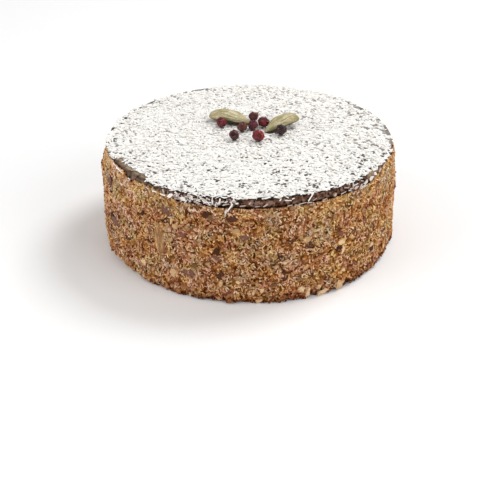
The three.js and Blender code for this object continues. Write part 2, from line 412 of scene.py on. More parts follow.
class ShaderBoard:
    """A material's node tree, laid out one node at a time."""

    def __init__(self, name: str) -> None:
        """Starts a material with a Principled surface.

        Args:
            name: The material's name.
        """
        self.material = bpy.data.materials.new(name)
        self.material.use_nodes = True
        self.nodes = self.material.node_tree.nodes
        self.links = self.material.node_tree.links
        self.nodes.clear()
        self.surface = self.nodes.new("ShaderNodeBsdfPrincipled")
        output = self.nodes.new("ShaderNodeOutputMaterial")
        self.links.new(self.surface.outputs["BSDF"], output.inputs["Surface"])
        self.place = self.nodes.new("ShaderNodeTexCoord").outputs["Object"]

    def feed(self, socket: bpy.types.NodeSocket, value: object) -> None:
        """Gives a socket its value.

        Args:
            socket: An input.
            value: Another node's output to link, or a plain number or colour to set.
        """
        if isinstance(value, bpy.types.NodeSocket):
            self.links.new(value, socket)
        else:
            socket.default_value = value

    def attribute(self, name: str) -> bpy.types.NodeSocket:
        """A number that each point of the mesh carries.

        Args:
            name: Its name.

        Returns:
            The number.
        """
        node = self.nodes.new("ShaderNodeAttribute")
        node.attribute_name = name
        return node.outputs["Fac"]

    def clouds(self, size: float, detail: float = 2.0, shift: float = 0.0) -> bpy.types.NodeSocket:
        """Soft noise.

        Args:
            size: Width of its patches, in metres.
            detail: How many finer layers it has.
            shift: Moves the pattern, so that two of one size differ.

        Returns:
            A number from 0 to 1.
        """
        place = self.place
        if shift:
            mover = self.nodes.new("ShaderNodeVectorMath")
            mover.operation = "ADD"
            self.links.new(place, mover.inputs[0])
            mover.inputs[1].default_value = (shift, shift, shift)
            place = mover.outputs["Vector"]
        node = self.nodes.new("ShaderNodeTexNoise")
        self.links.new(place, node.inputs["Vector"])
        node.inputs["Scale"].default_value = 1 / size
        node.inputs["Detail"].default_value = detail
        return node.outputs["Fac"]

    def cells(self, size: float) -> tuple[bpy.types.NodeSocket, bpy.types.NodeSocket]:
        """Pebble-like cells.

        Args:
            size: How far apart the cells' middles are, in metres.

        Returns:
            The distance from each cell's middle, and a random number for each cell.
        """
        node = self.nodes.new("ShaderNodeTexVoronoi")
        self.links.new(self.place, node.inputs["Vector"])
        node.inputs["Scale"].default_value = 1 / size
        split = self.nodes.new("ShaderNodeSeparateColor")
        self.links.new(node.outputs["Color"], split.inputs["Color"])
        return node.outputs["Distance"], split.outputs["Red"]

    def sum(self, *terms: tuple[float, object]) -> bpy.types.NodeSocket:
        """Adds up terms, each a weight and a socket or number.

        Args:
            terms: Pairs of a weight and what it weighs.

        Returns:
            The total.
        """
        total: object = 0.0
        for weight, value in terms:
            node = self.nodes.new("ShaderNodeMath")
            node.operation = "MULTIPLY_ADD"
            self.feed(node.inputs[0], value)
            node.inputs[1].default_value = weight
            self.feed(node.inputs[2], total)
            total = node.outputs["Value"]
        return total

    def along(self, axis: str) -> bpy.types.NodeSocket:
        """How far along an axis of the frame a point is.

        Args:
            axis: The axis: X, Y or Z.

        Returns:
            The distance in metres.
        """
        split = self.nodes.new("ShaderNodeSeparateXYZ")
        self.links.new(self.place, split.inputs["Vector"])
        return split.outputs[axis]

    def product(self, first: object, second: object) -> bpy.types.NodeSocket:
        """Multiplies two numbers.

        Args:
            first: A socket or a number.
            second: The same.

        Returns:
            Their product.
        """
        node = self.nodes.new("ShaderNodeMath")
        node.operation = "MULTIPLY"
        self.feed(node.inputs[0], first)
        self.feed(node.inputs[1], second)
        return node.outputs["Value"]

    def opposite(self, share: object) -> bpy.types.NodeSocket:
        """What a share lacks of 1."""
        return self.sum((-1.0, share), (1.0, 1.0))

    def step(self, value: bpy.types.NodeSocket, low: float, high: float) -> bpy.types.NodeSocket:
        """A soft step.

        Args:
            value: What is compared.
            low: Where the step is 0.
            high: Where the step is 1, which may be the smaller of the two.

        Returns:
            A number from 0 to 1.
        """
        node = self.nodes.new("ShaderNodeMapRange")
        node.interpolation_type = "SMOOTHSTEP"
        self.links.new(value, node.inputs["Value"])
        node.inputs["From Min"].default_value = low
        node.inputs["From Max"].default_value = high
        return node.outputs["Result"]

    def ramp(
        self, value: bpy.types.NodeSocket, stops: tuple[tuple[float, Colour], ...]
    ) -> bpy.types.NodeSocket:
        """Colours along a scale.

        Args:
            value: Where on the scale a point is.
            stops: Pairs of a place from 0 to 1 and its colour, in order.

        Returns:
            The colour.
        """
        node = self.nodes.new("ShaderNodeValToRGB")
        self.links.new(value, node.inputs["Fac"])
        elements = node.color_ramp.elements
        while len(elements) < len(stops):
            elements.new(1.0)
        for element, (at, colour) in zip(elements, stops):
            element.position = at
            element.color = (*colour, 1.0)
        return node.outputs["Color"]

    def mix(
        self, share: object, under: object, over: object, blend: str = "MIX"
    ) -> bpy.types.NodeSocket:
        """Lays one colour over another.

        Args:
            share: How much of the upper colour shows, from 0 to 1.
            under: The lower colour.
            over: The upper colour.
            blend: Blender's name of the way they mix.

        Returns:
            The mixed colour.
        """
        node = self.nodes.new("ShaderNodeMix")
        node.data_type = "RGBA"
        node.blend_type = blend
        factor, first, second = node.inputs[0], node.inputs[6], node.inputs[7]
        for socket, value in ((factor, share), (first, under), (second, over)):
            self.feed(socket, (*value, 1.0) if isinstance(value, tuple) else value)
        return node.outputs[2]

    def bump(self, height: bpy.types.NodeSocket, depth: float) -> None:
        """Fine relief on the surface.

        Args:
            height: The relief, from 0 to 1.
            depth: How deep it is, in metres.
        """
        node = self.nodes.new("ShaderNodeBump")
        node.inputs["Distance"].default_value = depth
        self.links.new(height, node.inputs["Height"])
        self.links.new(node.outputs["Normal"], self.surface.inputs["Normal"])

    def dress(self, colour: object, roughness: object, gloss: float = 0.5) -> bpy.types.Material:
        """Sets the surface's colour, roughness and gloss.

        Args:
            colour: A colour socket.
            roughness: A number or a socket.
            gloss: The shader's specular level, the same all over.

        Returns:
            The finished material.
        """
        self.feed(self.surface.inputs["Base Color"], colour)
        self.feed(self.surface.inputs["Roughness"], roughness)
        self.surface.inputs["Specular IOR Level"].default_value = gloss
        return self.material


@dataclass(frozen=True)
class FootShade:
    """Painted shade at the foot: ruddy low on the side except at the left, darkest at the sole."""

    ruddy: Colour = screen(176, 116, 88)
    ruddy_height: float = 7 * MM
    sole: Colour = screen(188, 160, 130)
    sole_height: float = 3.0 * MM
    off_left: Span = (-46 * MM, -24 * MM)
    at_right: Span = (36 * MM, 56 * MM)

    def over(self, board: ShaderBoard, colour: bpy.types.NodeSocket) -> bpy.types.NodeSocket:
        """Darkens a colour with painted shade at the foot.

        Args:
            board: The material.
            colour: Its colour so far.

        Returns:
            The colour, with painted shade at the foot.
        """
        height, across = board.along("Z"), board.along("X")
        off_left = board.step(across, *self.off_left)
        at_right = board.step(across, *self.at_right)
        amount = board.sum((0.6, off_left), (0.3, at_right), (1.0, 0.05))
        low = board.product(board.step(height, self.ruddy_height, 0.0), amount)
        colour = board.mix(low, colour, self.ruddy, "MULTIPLY")
        lowest = board.product(board.step(height, self.sole_height, 0.5 * MM), off_left)
        return board.mix(lowest, colour, self.sole, "MULTIPLY")


@dataclass(frozen=True)
class CrumbFinish:
    """Pressed crumb: each bit has its own tone, and patches of it are ruddy, golden or greyish; its
    foot gets painted shade.
    """

    name: str = "crumb"
    stops: tuple[tuple[float, Colour], ...] = (
        (0.00, screen(80, 46, 15)),
        (0.22, screen(150, 106, 68)),
        (0.45, screen(204, 167, 141)),
        (0.70, screen(232, 205, 190)),
        (1.00, screen(255, 240, 243)),
    )
    tints: tuple[tuple[float, Colour], ...] = (
        (0.33, screen(226, 186, 158)),
        (0.42, screen(250, 220, 190)),
        (0.49, screen(255, 242, 220)),
        (0.56, screen(250, 240, 212)),
        (0.66, screen(222, 220, 206)),
    )
    patch: float = 8 * MM
    golden: Colour = screen(255, 253, 208)
    rim_heights: Span = (33 * MM, 37 * MM)
    far_left: Span = (-42 * MM, -54 * MM)
    left: Span = (-36 * MM, -46 * MM)
    right: Span = (8 * MM, 45 * MM)
    roughness: float = 0.85

    def material(self) -> bpy.types.Material:
        """Builds the material.

        Returns:
            The crumb material.
        """
        board = ShaderBoard(self.name)
        distance, cell = board.cells(1.3 * MM)
        speck = board.clouds(0.5 * MM)
        across = board.along("X")
        under_rim = board.step(board.along("Z"), *self.rim_heights)
        at_left = board.step(across, *self.far_left)
        left_rim = board.product(board.step(across, *self.left), under_rim)
        tone = board.sum(
            (1.0, board.attribute("tone")),
            (0.2, cell),
            (0.4, speck),
            (0.09, under_rim),
            (0.07, at_left),
            (0.07, left_rim),
            (1.0, -0.3),
        )
        colour = board.ramp(tone, self.stops)
        patch = board.sum(
            (1.0, board.clouds(self.patch, detail=3.0)),
            (0.22, board.attribute("hue")),
            (0.07, under_rim),
            (1.0, -0.12),
        )
        colour = board.mix(1.0, colour, board.ramp(patch, self.tints), "MULTIPLY")
        at_right = board.step(across, *self.right)
        golden = board.sum((1.0, board.clouds(5 * MM, shift=0.6)), (0.06, at_right))
        colour = board.mix(board.step(golden, 0.38, 0.66), colour, self.golden, "MULTIPLY")
        board.bump(board.sum((0.6, speck), (0.4, distance)), 0.25 * MM)
        # The foot gets painted shade.
        return board.dress(FootShade().over(board, colour), self.roughness, gloss=0.06)


@dataclass(frozen=True)
class BitFinish:
    """Nuts, flakes and fruit in the mix: a few colours along each piece's tone, and a fine grain."""

    name: str
    stops: tuple[tuple[float, Colour], ...]
    roughness: float = 0.75
    grain: float = 0.6 * MM
    gloss: float = 0.12
    foot_shaded: bool = True

    def material(self) -> bpy.types.Material:
        """Builds the material.

        Returns:
            The material of one kind of bit.
        """
        board = ShaderBoard(self.name)
        speck = board.clouds(self.grain, detail=3.0)
        tone = board.sum((1.0, board.attribute("tone")), (0.6, speck), (1.0, -0.3))
        colour = board.ramp(tone, self.stops)
        # Unless turned off, the foot gets painted shade.
        if self.foot_shaded:
            colour = FootShade().over(board, colour)
        board.bump(speck, 0.2 * MM)
        return board.dress(colour, self.roughness, self.gloss)


@dataclass(frozen=True)
class IcingFinish:
    """Dark icing: streaked brown and very dark on its side, with painted shade under the coconut's
    edge and along its foot; coconut dust on its top.
    """

    name: str = "dark_icing"
    dark: Colour = screen(34, 20, 12)
    brown: Colour = screen(108, 72, 50)
    grey: Colour = screen(158, 128, 112)
    black: Colour = screen(92, 76, 66)
    gap: Colour = screen(84, 76, 70)
    back_rim: Colour = screen(140, 132, 126)
    smear: Colour = screen(172, 148, 122)
    dust: Colour = screen(246, 244, 240)
    top_edge: Span = (44.1 * MM, 44.6 * MM)
    low_edge: Span = (42.2 * MM, 41.7 * MM)
    upward_from: Span = (43.2 * MM, 43.5 * MM)
    gap_reach: Span = (55.8 * MM, 54.3 * MM)
    rim_from: Span = (54 * MM, 55 * MM)
    back_from: Span = (-24 * MM, -12 * MM)
    left_from: Span = (-14 * MM, -18 * MM)

    def material(self) -> bpy.types.Material:
        """Builds the material.

        Returns:
            The icing material.
        """
        board = ShaderBoard(self.name)
        streaks = board.clouds(1.1 * MM, detail=3.0, shift=0.17)
        colour = board.mix(board.step(streaks, 0.43, 0.54), self.dark, self.brown)
        pale = board.step(board.clouds(1.6 * MM, detail=4.0, shift=0.29), 0.51, 0.60)
        colour = board.mix(board.sum((0.7, pale)), colour, self.grey)
        # Painted shade: the wall darkens on a ragged line under the coconut's edge, and by half along
        # its recessed foot.
        ragged = board.sum(
            (1.0, board.along("Z")), (3.4 * MM, board.clouds(1.6 * MM, detail=3.0, shift=0.53))
        )
        edges = board.sum(
            (1.0, board.step(ragged, *self.top_edge)),
            (0.5, board.step(ragged, *self.low_edge)),
        )
        colour = board.mix(edges, colour, self.black, "MULTIPLY")
        patchy = board.step(board.clouds(1.8 * MM, detail=3.0, shift=0.41), 0.3, 0.55)
        smeared = board.product(board.attribute("smear"), patchy)
        colour = board.mix(board.sum((0.9, smeared)), colour, self.smear)
        grains = board.step(board.clouds(0.8 * MM, detail=3.0), 0.38, 0.45)
        upward = board.step(board.along("Z"), *self.upward_from)
        x, y = board.along("X"), board.along("Y")
        spread = board.sum((1.0, board.product(x, x)), (1.0, board.product(y, y)))
        inside = board.step(spread, *(reach**2 for reach in self.gap_reach))
        inside = board.product(board.product(inside, upward), board.opposite(smeared))
        colour = board.mix(inside, colour, self.gap)
        behind = board.product(board.step(y, *self.back_from), upward)
        left_rim = board.step(spread, *(reach**2 for reach in self.rim_from))
        left_rim = board.product(left_rim, board.step(x, *self.left_from))
        behind = board.product(behind, board.opposite(left_rim))
        colour = board.mix(behind, colour, self.back_rim)
        # No dust where the icing is bare, so it stays dark; under the toppings that is painted contact
        # shadow.
        kept = board.step(board.opposite(board.attribute("bare")), 0.4, 0.9)
        dusty = board.product(board.product(grains, upward), kept)
        colour = board.mix(dusty, colour, self.dust)
        board.bump(board.clouds(0.8 * MM, detail=3.0), 0.3 * MM)
        return board.dress(colour, 0.7, gloss=0.2)


@dataclass(frozen=True)
class CoconutFinish:
    """Desiccated coconut: white, with a few shreds a little creamier; with a greyer tint it gives
    loose bits painted shade.
    """

    name: str = "coconut"
    white: Colour = screen(250, 248, 244)
    cream_and_shade: Colour = screen(244, 238, 228)
    cream_and_shade_from: float = 0.85
    roughness: float = 0.6

    def material(self) -> bpy.types.Material:
        """Builds the material.

        Returns:
            The coconut material.
        """
        board = ShaderBoard(self.name)
        fibre = board.clouds(0.35 * MM)
        cream_and_shade_share = board.sum((1.0, board.attribute("tone")), (0.2, fibre))
        cream_and_shade_share = board.step(cream_and_shade_share, self.cream_and_shade_from, self.cream_and_shade_from + 0.35)
        colour = board.mix(cream_and_shade_share, self.white, self.cream_and_shade)
        board.bump(fibre, 0.08 * MM)
        return board.dress(colour, self.roughness, gloss=0.3)


class Ripeness(Enum):
    """The colour that a berry has dried to."""

    SCARLET = screen(156, 40, 42)
    CLARET = screen(122, 22, 34)
    PURPLE = screen(110, 26, 44)
    RUSSET = screen(118, 46, 38)
    BROWNED = screen(106, 48, 38)
    DARK = screen(98, 36, 36)
    BLACKENED = screen(62, 28, 28)


@dataclass(frozen=True)
class BerrySkin:
    """The wrinkled, half glossy skin of a dried berry, with painted shade in its folds and underneath,
    and pale patches that are partly its whitish film and partly painted highlight.
    """

    ripeness: Ripeness
    roughness: float = 0.3

    def material(self) -> bpy.types.Material:
        """Builds the material.

        Returns:
            The skin, in the berry's own colour.
        """
        board = ShaderBoard(f"berry_skin_{self.ripeness.name.lower()}")
        hue = self.ripeness.value
        dark_mottle_and_shade = tuple(0.16 * part for part in hue)
        bloom_and_highlight = tuple(lerp(part, 0.42, 0.2) for part in hue)
        blotch = board.clouds(1.6 * MM, detail=2.0)
        crease_shade = board.attribute("crease_shade")
        colour = board.mix(board.step(blotch, 0.30, 0.60), dark_mottle_and_shade, hue)
        # Painted shade: the skin darkens in its folds, in the crown's hollow and underneath.
        colour = board.mix(board.sum((0.85, crease_shade)), colour, dark_mottle_and_shade)
        bloom_and_highlight_share = board.step(board.clouds(0.7 * MM, detail=2.0, shift=0.23), 0.55, 0.75)
        # Pale patches: partly the berry's whitish film, partly painted highlight.
        colour = board.mix(board.sum((0.3, bloom_and_highlight_share)), colour, bloom_and_highlight)
        board.bump(board.clouds(0.45 * MM, detail=3.0), 0.12 * MM)
        return board.dress(colour, self.roughness, gloss=0.36)


@dataclass(frozen=True)
class SeedHusk:
    """The ribbed husk of a green seed: streaks of buff, green and ochre, with brown painted shade
    underneath.
    """

    name: str = "seed_husk"
    buff: Colour = screen(220, 206, 176)
    green: Colour = screen(148, 144, 96)
    ochre: Colour = screen(176, 144, 90)
    shade: Colour = screen(84, 58, 34)

    def material(self) -> bpy.types.Material:
        """Builds the material.

        Returns:
            The husk material.
        """
        board = ShaderBoard(self.name)
        mottle = board.clouds(0.7 * MM, detail=3.0)
        patches = board.clouds(5 * MM, shift=0.4)
        streak = board.attribute("streak")
        share = board.sum((0.8, streak), (0.5, mottle), (1.0, patches), (1.0, -0.65))
        colour = board.mix(board.step(share, 0.25, 0.85), self.green, self.buff)
        golden = board.sum((0.7, streak), (1.0, board.clouds(4 * MM, shift=0.9)), (1.0, -0.35))
        colour = board.mix(board.step(golden, 0.55, 0.95), colour, self.ochre)
        # Painted shade on the underside.
        colour = board.mix(board.sum((0.9, board.attribute("under"))), colour, self.shade)
        board.bump(board.sum((0.4, mottle), (0.6, streak)), 0.25 * MM)
        return board.dress(colour, 0.55, gloss=0.3)


# Small bits, scattered and joined


class BitShape(Enum):
    """The forms that a small bit can have."""

    SLIVER = "sliver"
    CHIP = "chip"
    FLAKE = "flake"
    NUGGET = "nugget"
    SHRED = "shred"
    STRAND = "strand"


@dataclass(frozen=True)
class Prototype:
    """One small shape, a unit long, wide and deep: its points and triangles."""

    points: np.ndarray
    triangles: np.ndarray

    @classmethod
    def from_bmesh(cls, bm: bmesh.types.BMesh) -> "Prototype":
        """Takes the shape out of a bmesh and frees it.

        Args:
            bm: A closed shape.

        Returns:
            The same shape as arrays.
        """
        bmesh.ops.triangulate(bm, faces=bm.faces)
        bmesh.ops.recalc_face_normals(bm, faces=bm.faces)
        bm.verts.index_update()
        points = np.array([vertex.co[:] for vertex in bm.verts], dtype=np.float64)
        triangles = np.array([[v.index for v in face.verts] for face in bm.faces], dtype=np.int64)
        bm.free()
        return cls(points, triangles)

    @classmethod
    def make(cls, shape: BitShape, seed: int) -> "Prototype":
        """Models one crooked bit.

        Args:
            shape: Its form.
            seed: Which of the many crooked ones of that form it is.

        Returns:
            The bit, lying along X, its depth along Z.
        """
        # Unseeded, the noise would differ in every run.
        noise.seed_set(CROOKEDNESS_SEED)
        bm = bmesh.new()
        crooked = 0.28
        if shape is BitShape.SLIVER:
            bmesh.ops.create_cone(
                bm, cap_ends=True, segments=5, radius1=0.5, radius2=0.3, depth=1.0
            )
            bmesh.ops.rotate(bm, verts=bm.verts, matrix=Matrix.Rotation(math.pi / 2, 3, "Y"))
        elif shape is BitShape.CHIP:
            bmesh.ops.create_icosphere(bm, subdivisions=1, radius=0.5)
            crooked = 0.4
        elif shape is BitShape.FLAKE:
            bmesh.ops.create_cone(
                bm, cap_ends=True, segments=7, radius1=0.5, radius2=0.42, depth=1.0
            )
            crooked = 0.22
        elif shape is BitShape.NUGGET:
            bmesh.ops.create_icosphere(bm, subdivisions=2, radius=0.5)
            crooked = 0.45
        else:
            bmesh.ops.create_cube(bm, size=1.0)
            if shape is BitShape.STRAND:
                long_edges = [e for e in bm.edges if abs(e.verts[0].co.x - e.verts[1].co.x) > 0.5]
                bmesh.ops.subdivide_edges(bm, edges=long_edges, cuts=2, use_grid_fill=True)
            crooked = 0.2
        offset = Vector((seed * 3.7, seed * 1.3, seed * 0.71))
        bend = 0.6 * math.sin(seed * 2.1)
        for vertex in bm.verts:
            push = noise.noise_vector(vertex.co * 2.3 + offset)
            vertex.co += crooked * push
            if shape in (BitShape.SHRED, BitShape.STRAND):
                along = 2 * vertex.co.x
                slim = 1 - 0.4 * along * along
                vertex.co.y = vertex.co.y * slim + bend * along * along
                vertex.co.z = vertex.co.z * slim + 0.5 * math.cos(seed * 1.7) * along * along
        return cls.from_bmesh(bm)


@dataclass
class Scatter:
    """Where many bits lie: middles, directions, sizes, tones and hues, one row for each bit."""

    centres: np.ndarray
    turns: np.ndarray
    sizes: np.ndarray
    tones: np.ndarray
    hues: np.ndarray

    @classmethod
    def drawn(
        cls,
        draw: np.random.Generator,
        centres: np.ndarray,
        turns: np.ndarray,
        spans: tuple[Span, Span, Span],
        tone: Span,
    ) -> "Scatter":
        """Bits of random sizes, tones and hues.

        Args:
            draw: The source of them.
            centres: Where the bits lie.
            turns: How they are turned.
            spans: Their lengths, widths and thicknesses, from the least to the most, in millimetres.
            tone: Their tones, from the darkest to the lightest.

        Returns:
            The bits.
        """
        count = len(centres)
        sizes = np.stack([draw.uniform(*span, count) for span in spans], axis=1) * MM
        return cls(centres, turns, sizes, draw.uniform(*tone, count), draw.uniform(0, 1, count))

    def arrays(self) -> tuple[np.ndarray, ...]:
        """Its arrays, in the order of its fields."""
        return self.centres, self.turns, self.sizes, self.tones, self.hues

    def kept(self, keep: np.ndarray) -> "Scatter":
        """Only the bits that a mask names."""
        return Scatter(*(array[keep] for array in self.arrays()))

    def with_more(self, other: "Scatter") -> "Scatter":
        """These bits and another lot of them."""
        return Scatter(*map(np.concatenate, zip(self.arrays(), other.arrays())))

    def joined(self, name: str, shape: BitShape, floor: float | None = None) -> bpy.types.Object:
        """Makes the bits, joined in one mesh.

        Args:
            name: The piece's name.
            shape: The form of every bit.
            floor: A height that no point goes below, each bit a little above it by its own amount.

        Returns:
            The piece, with each bit's tone on its points.
        """
        variants = 12
        prototypes = [Prototype.make(shape, seed) for seed in range(1, variants + 1)]
        points, triangles, tones, hues = [], [], [], []
        start = 0
        for k, prototype in enumerate(prototypes):
            part = self.kept(np.arange(len(self.centres)) % variants == k)
            count, corners = len(part.centres), len(prototype.points)
            if not count:
                continue
            sized = prototype.points[None] * part.sizes[:, None]
            laid = np.einsum("nij,nvj->nvi", part.turns, sized) + part.centres[:, None]
            if floor is not None:
                lift = floor + 0.12 * MM * (np.arange(count) * GOLDEN_RATIO % 1)
                laid[..., 2] = np.maximum(laid[..., 2], lift[:, None])
            points.append(laid.reshape(-1, 3))
            firsts = start + corners * np.arange(count)
            triangles.append((prototype.triangles[None] + firsts[:, None, None]).reshape(-1, 3))
            tones.append(np.repeat(part.tones, corners))
            hues.append(np.repeat(part.hues, corners))
            start += count * corners
        mesh = mesh_from_arrays(name, np.concatenate(points), np.concatenate(triangles))
        piece = placed(name, mesh)
        point_values(piece, "tone", np.concatenate(tones))
        point_values(piece, "hue", np.concatenate(hues))
        return piece


def mesh_from_arrays(name: str, points: np.ndarray, triangles: np.ndarray) -> bpy.types.Mesh:
    """A flat-shaded triangle mesh.

    Args:
        name: The mesh's name.
        points: One row for each point.
        triangles: One row of three point numbers for each triangle.

    Returns:
        The mesh.
    """
    mesh = bpy.data.meshes.new(name)
    mesh.vertices.add(len(points))
    mesh.vertices.foreach_set("co", points.astype(np.float32).ravel())
    mesh.loops.add(3 * len(triangles))
    mesh.loops.foreach_set("vertex_index", triangles.astype(np.int32).ravel())
    mesh.polygons.add(len(triangles))
    mesh.polygons.foreach_set("loop_start", 3 * np.arange(len(triangles), dtype=np.int32))
    mesh.update(calc_edges=True)
    mesh.validate()
    mesh.shade_flat()
    return mesh


def placed(name: str, mesh: bpy.types.Mesh) -> bpy.types.Object:
    """Puts a finished mesh in the scene.

    Args:
        name: The object's name.
        mesh: The mesh, where it belongs in the frame.

    Returns:
        The object, at the origin.
    """
    piece = bpy.data.objects.new(name, mesh)
    bpy.context.scene.collection.objects.link(piece)
    return piece


def object_from_bmesh(name: str, bm: bmesh.types.BMesh) -> bpy.types.Object:
    """A smooth-shaded object from a bmesh, which is freed.

    Args:
        name: The piece's name.
        bm: The shape, where it belongs in the frame.

    Returns:
        The piece.
    """
    mesh = bpy.data.meshes.new(name)
    bm.to_mesh(mesh)
    bm.free()
    mesh.shade_smooth()
    return placed(name, mesh)


def spun(outline: list[tuple[float, float]], columns: int) -> bmesh.types.BMesh:
    """Spins a profile once round the cake's axis.

    Args:
        outline: Pairs of radius and height, from the axis underneath to the axis on top.
        columns: How many corners there are round it.

    Returns:
        The closed shape.
    """
    bm = bmesh.new()
    profile = [bm.verts.new((radius, 0, height)) for radius, height in outline]
    edges = [bm.edges.new(pair) for pair in zip(profile, profile[1:])]
    bmesh.ops.spin(
        bm,
        geom=profile + edges,
        axis=(0, 0, 1),
        angle=FULL_TURN,
        steps=columns,
        use_merge=True,
    )
    bmesh.ops.remove_doubles(bm, verts=bm.verts, dist=1e-6)
    bmesh.ops.recalc_face_normals(bm, faces=bm.faces)
    return bm


def point_values(piece: bpy.types.Object, name: str, values: np.ndarray | list[float]) -> None:
    """Stores a number on each point of a piece."""
    layer = piece.data.attributes.new(name, "FLOAT", "POINT")
    layer.data.foreach_set("value", np.array(values, dtype=np.float32))


def settle(
    piece: bpy.types.Object, material: bpy.types.Material, slot: str, *nodes: str
) -> None:
    """Dresses a finished piece and ties it to the frame.

    Args:
        piece: The piece, in its place.
        material: Its finish.
        slot: The record's material slot that it belongs to.
        nodes: The CAD nodes that it stands for.
    """
    piece.data.materials.append(material)
    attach(piece, "root")
    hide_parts(*nodes)
    LOG.info("%s: %d faces, slot %s", piece.name, len(piece.data.polygons), slot)


def directions(
    tangent: np.ndarray, up: np.ndarray, spins: np.ndarray, leans: np.ndarray, rolls: np.ndarray
) -> np.ndarray:
    """Turns bits on a surface.

    Args:
        tangent: For each bit, a direction along the surface.
        up: For each bit, the direction along the surface that is square to the tangent.
        spins: How far each bit's length is turned in the surface, in radians.
        leans: How far each bit's end is lifted out of the surface, in radians.
        rolls: How far each bit is rolled about its length, in radians.

    Returns:
        For each bit a matrix whose columns are its length, width and depth directions.
    """
    normal = np.cross(tangent, up)
    spin_cos, spin_sin = np.cos(spins)[:, None], np.sin(spins)[:, None]
    length = spin_cos * tangent + spin_sin * up
    width = -spin_sin * tangent + spin_cos * up
    lean_cos, lean_sin = np.cos(leans)[:, None], np.sin(leans)[:, None]
    lifted = lean_cos * length + lean_sin * normal
    depth = -lean_sin * length + lean_cos * normal
    roll_cos, roll_sin = np.cos(rolls)[:, None], np.sin(rolls)[:, None]
    rolled = roll_cos * width + roll_sin * depth
    return np.stack([lifted, rolled, roll_cos * depth - roll_sin * width], axis=-1)


# The crumb body


@dataclass(frozen=True)
class Landmark:
    """One bit whose place is known, laid against the side.

    Attributes:
        azimuth: Where round the cake, in degrees from +X.
        height: How high its middle is, in millimetres.
        length: Its length in millimetres.
        width: Its width in millimetres.
        slant: How its length is turned from level, in degrees.
        tone: How light it is, from 0 to 1.
        depth: Its thickness in millimetres.
        out: How much further out than its kind it stands, in millimetres.
    """

    azimuth: float
    height: float
    length: float
    width: float
    slant: float = 0.0
    tone: float = 0.5
    depth: float = 1.4
    out: float = 0.0


def known_places(*rows: tuple[float, ...]) -> tuple[Landmark, ...]:
    """One landmark for each row of its values."""
    return tuple(Landmark(*row) for row in rows)


@dataclass(frozen=True)
class Mix:
    """One kind of bit in the mix.

    Attributes:
        name: Its name.
        shape: Its form.
        count: How many are spread over the side by chance.
        length: Their lengths in millimetres, from the shortest to the longest.
        width: Their widths in millimetres.
        depth: Their thicknesses in millimetres.
        tone: How light they are, from 0 to 1.
        band: The heights that they lie between, in millimetres; none lies above the rim.
        proud: How far out of the side their middles stand, in millimetres.
        lean: How far they lean and roll out of the side, in degrees.
        finish: Their colours, where these are not the crumb's.
        landmarks: Those of them whose place is known.
        seed: For the draw.
    """

    name: str
    shape: BitShape
    count: int
    length: Span
    width: Span
    depth: Span
    tone: Span
    band: Span = (0.4, 60.0)
    proud: Span = (-0.25, 0.15)
    lean: float = 24.0
    finish: BitFinish | None = None
    landmarks: tuple[Landmark, ...] = ()
    seed: int = 1


@dataclass(frozen=True)
class Patch:
    """A part of the side where the mix came out lighter or darker.

    Attributes:
        azimuth: Where round the cake its middle is, in degrees from +X.
        height: How high its middle is, in millimetres.
        reach: How far it goes, in millimetres.
        tone: How much lighter it is.
    """

    azimuth: float
    height: float
    reach: float
    tone: float

    def lightness(self, angles: np.ndarray | float, heights: np.ndarray | float) -> np.ndarray:
        """How much lighter it makes places on the side.

        Args:
            angles: Where round the cake they are, in radians.
            heights: How high they are, in metres.

        Returns:
            What it adds to their tone.
        """
        side_radius = 59
        away = (angles - math.radians(self.azimuth) + math.pi) % FULL_TURN - math.pi
        share = ((side_radius * away) ** 2 + (heights / MM - self.height) ** 2) / self.reach**2
        return self.tone * np.exp(-share)


PATCHES = (
    Patch(-138, 31.5, 8, 0.12),
    Patch(-150, 21.5, 8, 0.07),
    Patch(-160, 3.0, 6, 0.09),
    Patch(-127, 14.0, 9, 0.08),
    Patch(-110, 11.0, 5, 0.07),
    Patch(-70, 16.5, 5, 0.06),
    Patch(-62, 34.0, 8, 0.05),
    Patch(-31, 7.0, 6, 0.08),
    Patch(-31, 24.0, 7, 0.05),
    Patch(-156, 11.0, 7, -0.07),
    Patch(-100, 36.5, 6, -0.12),
    Patch(-80, 31.5, 5, -0.08),
    Patch(-90, 26.0, 5, -0.06),
    Patch(-90, 12.0, 6, -0.08),
    Patch(-65, 22.0, 6, -0.05),
    Patch(-40, 11.0, 6, -0.10),
)
GRAIN_MIXES = (
    Mix(
        "golden_grains",
        BitShape.SLIVER,
        count=12500,
        length=(0.8, 1.5),
        width=(0.4, 0.75),
        depth=(0.35, 0.6),
        tone=(0.3, 0.95),
        seed=11,
    ),
    Mix(
        "toasted_grains",
        BitShape.CHIP,
        count=9500,
        length=(0.7, 1.3),
        width=(0.5, 1.0),
        depth=(0.5, 0.85),
        tone=(0.1, 0.7),
        seed=12,
    ),
)
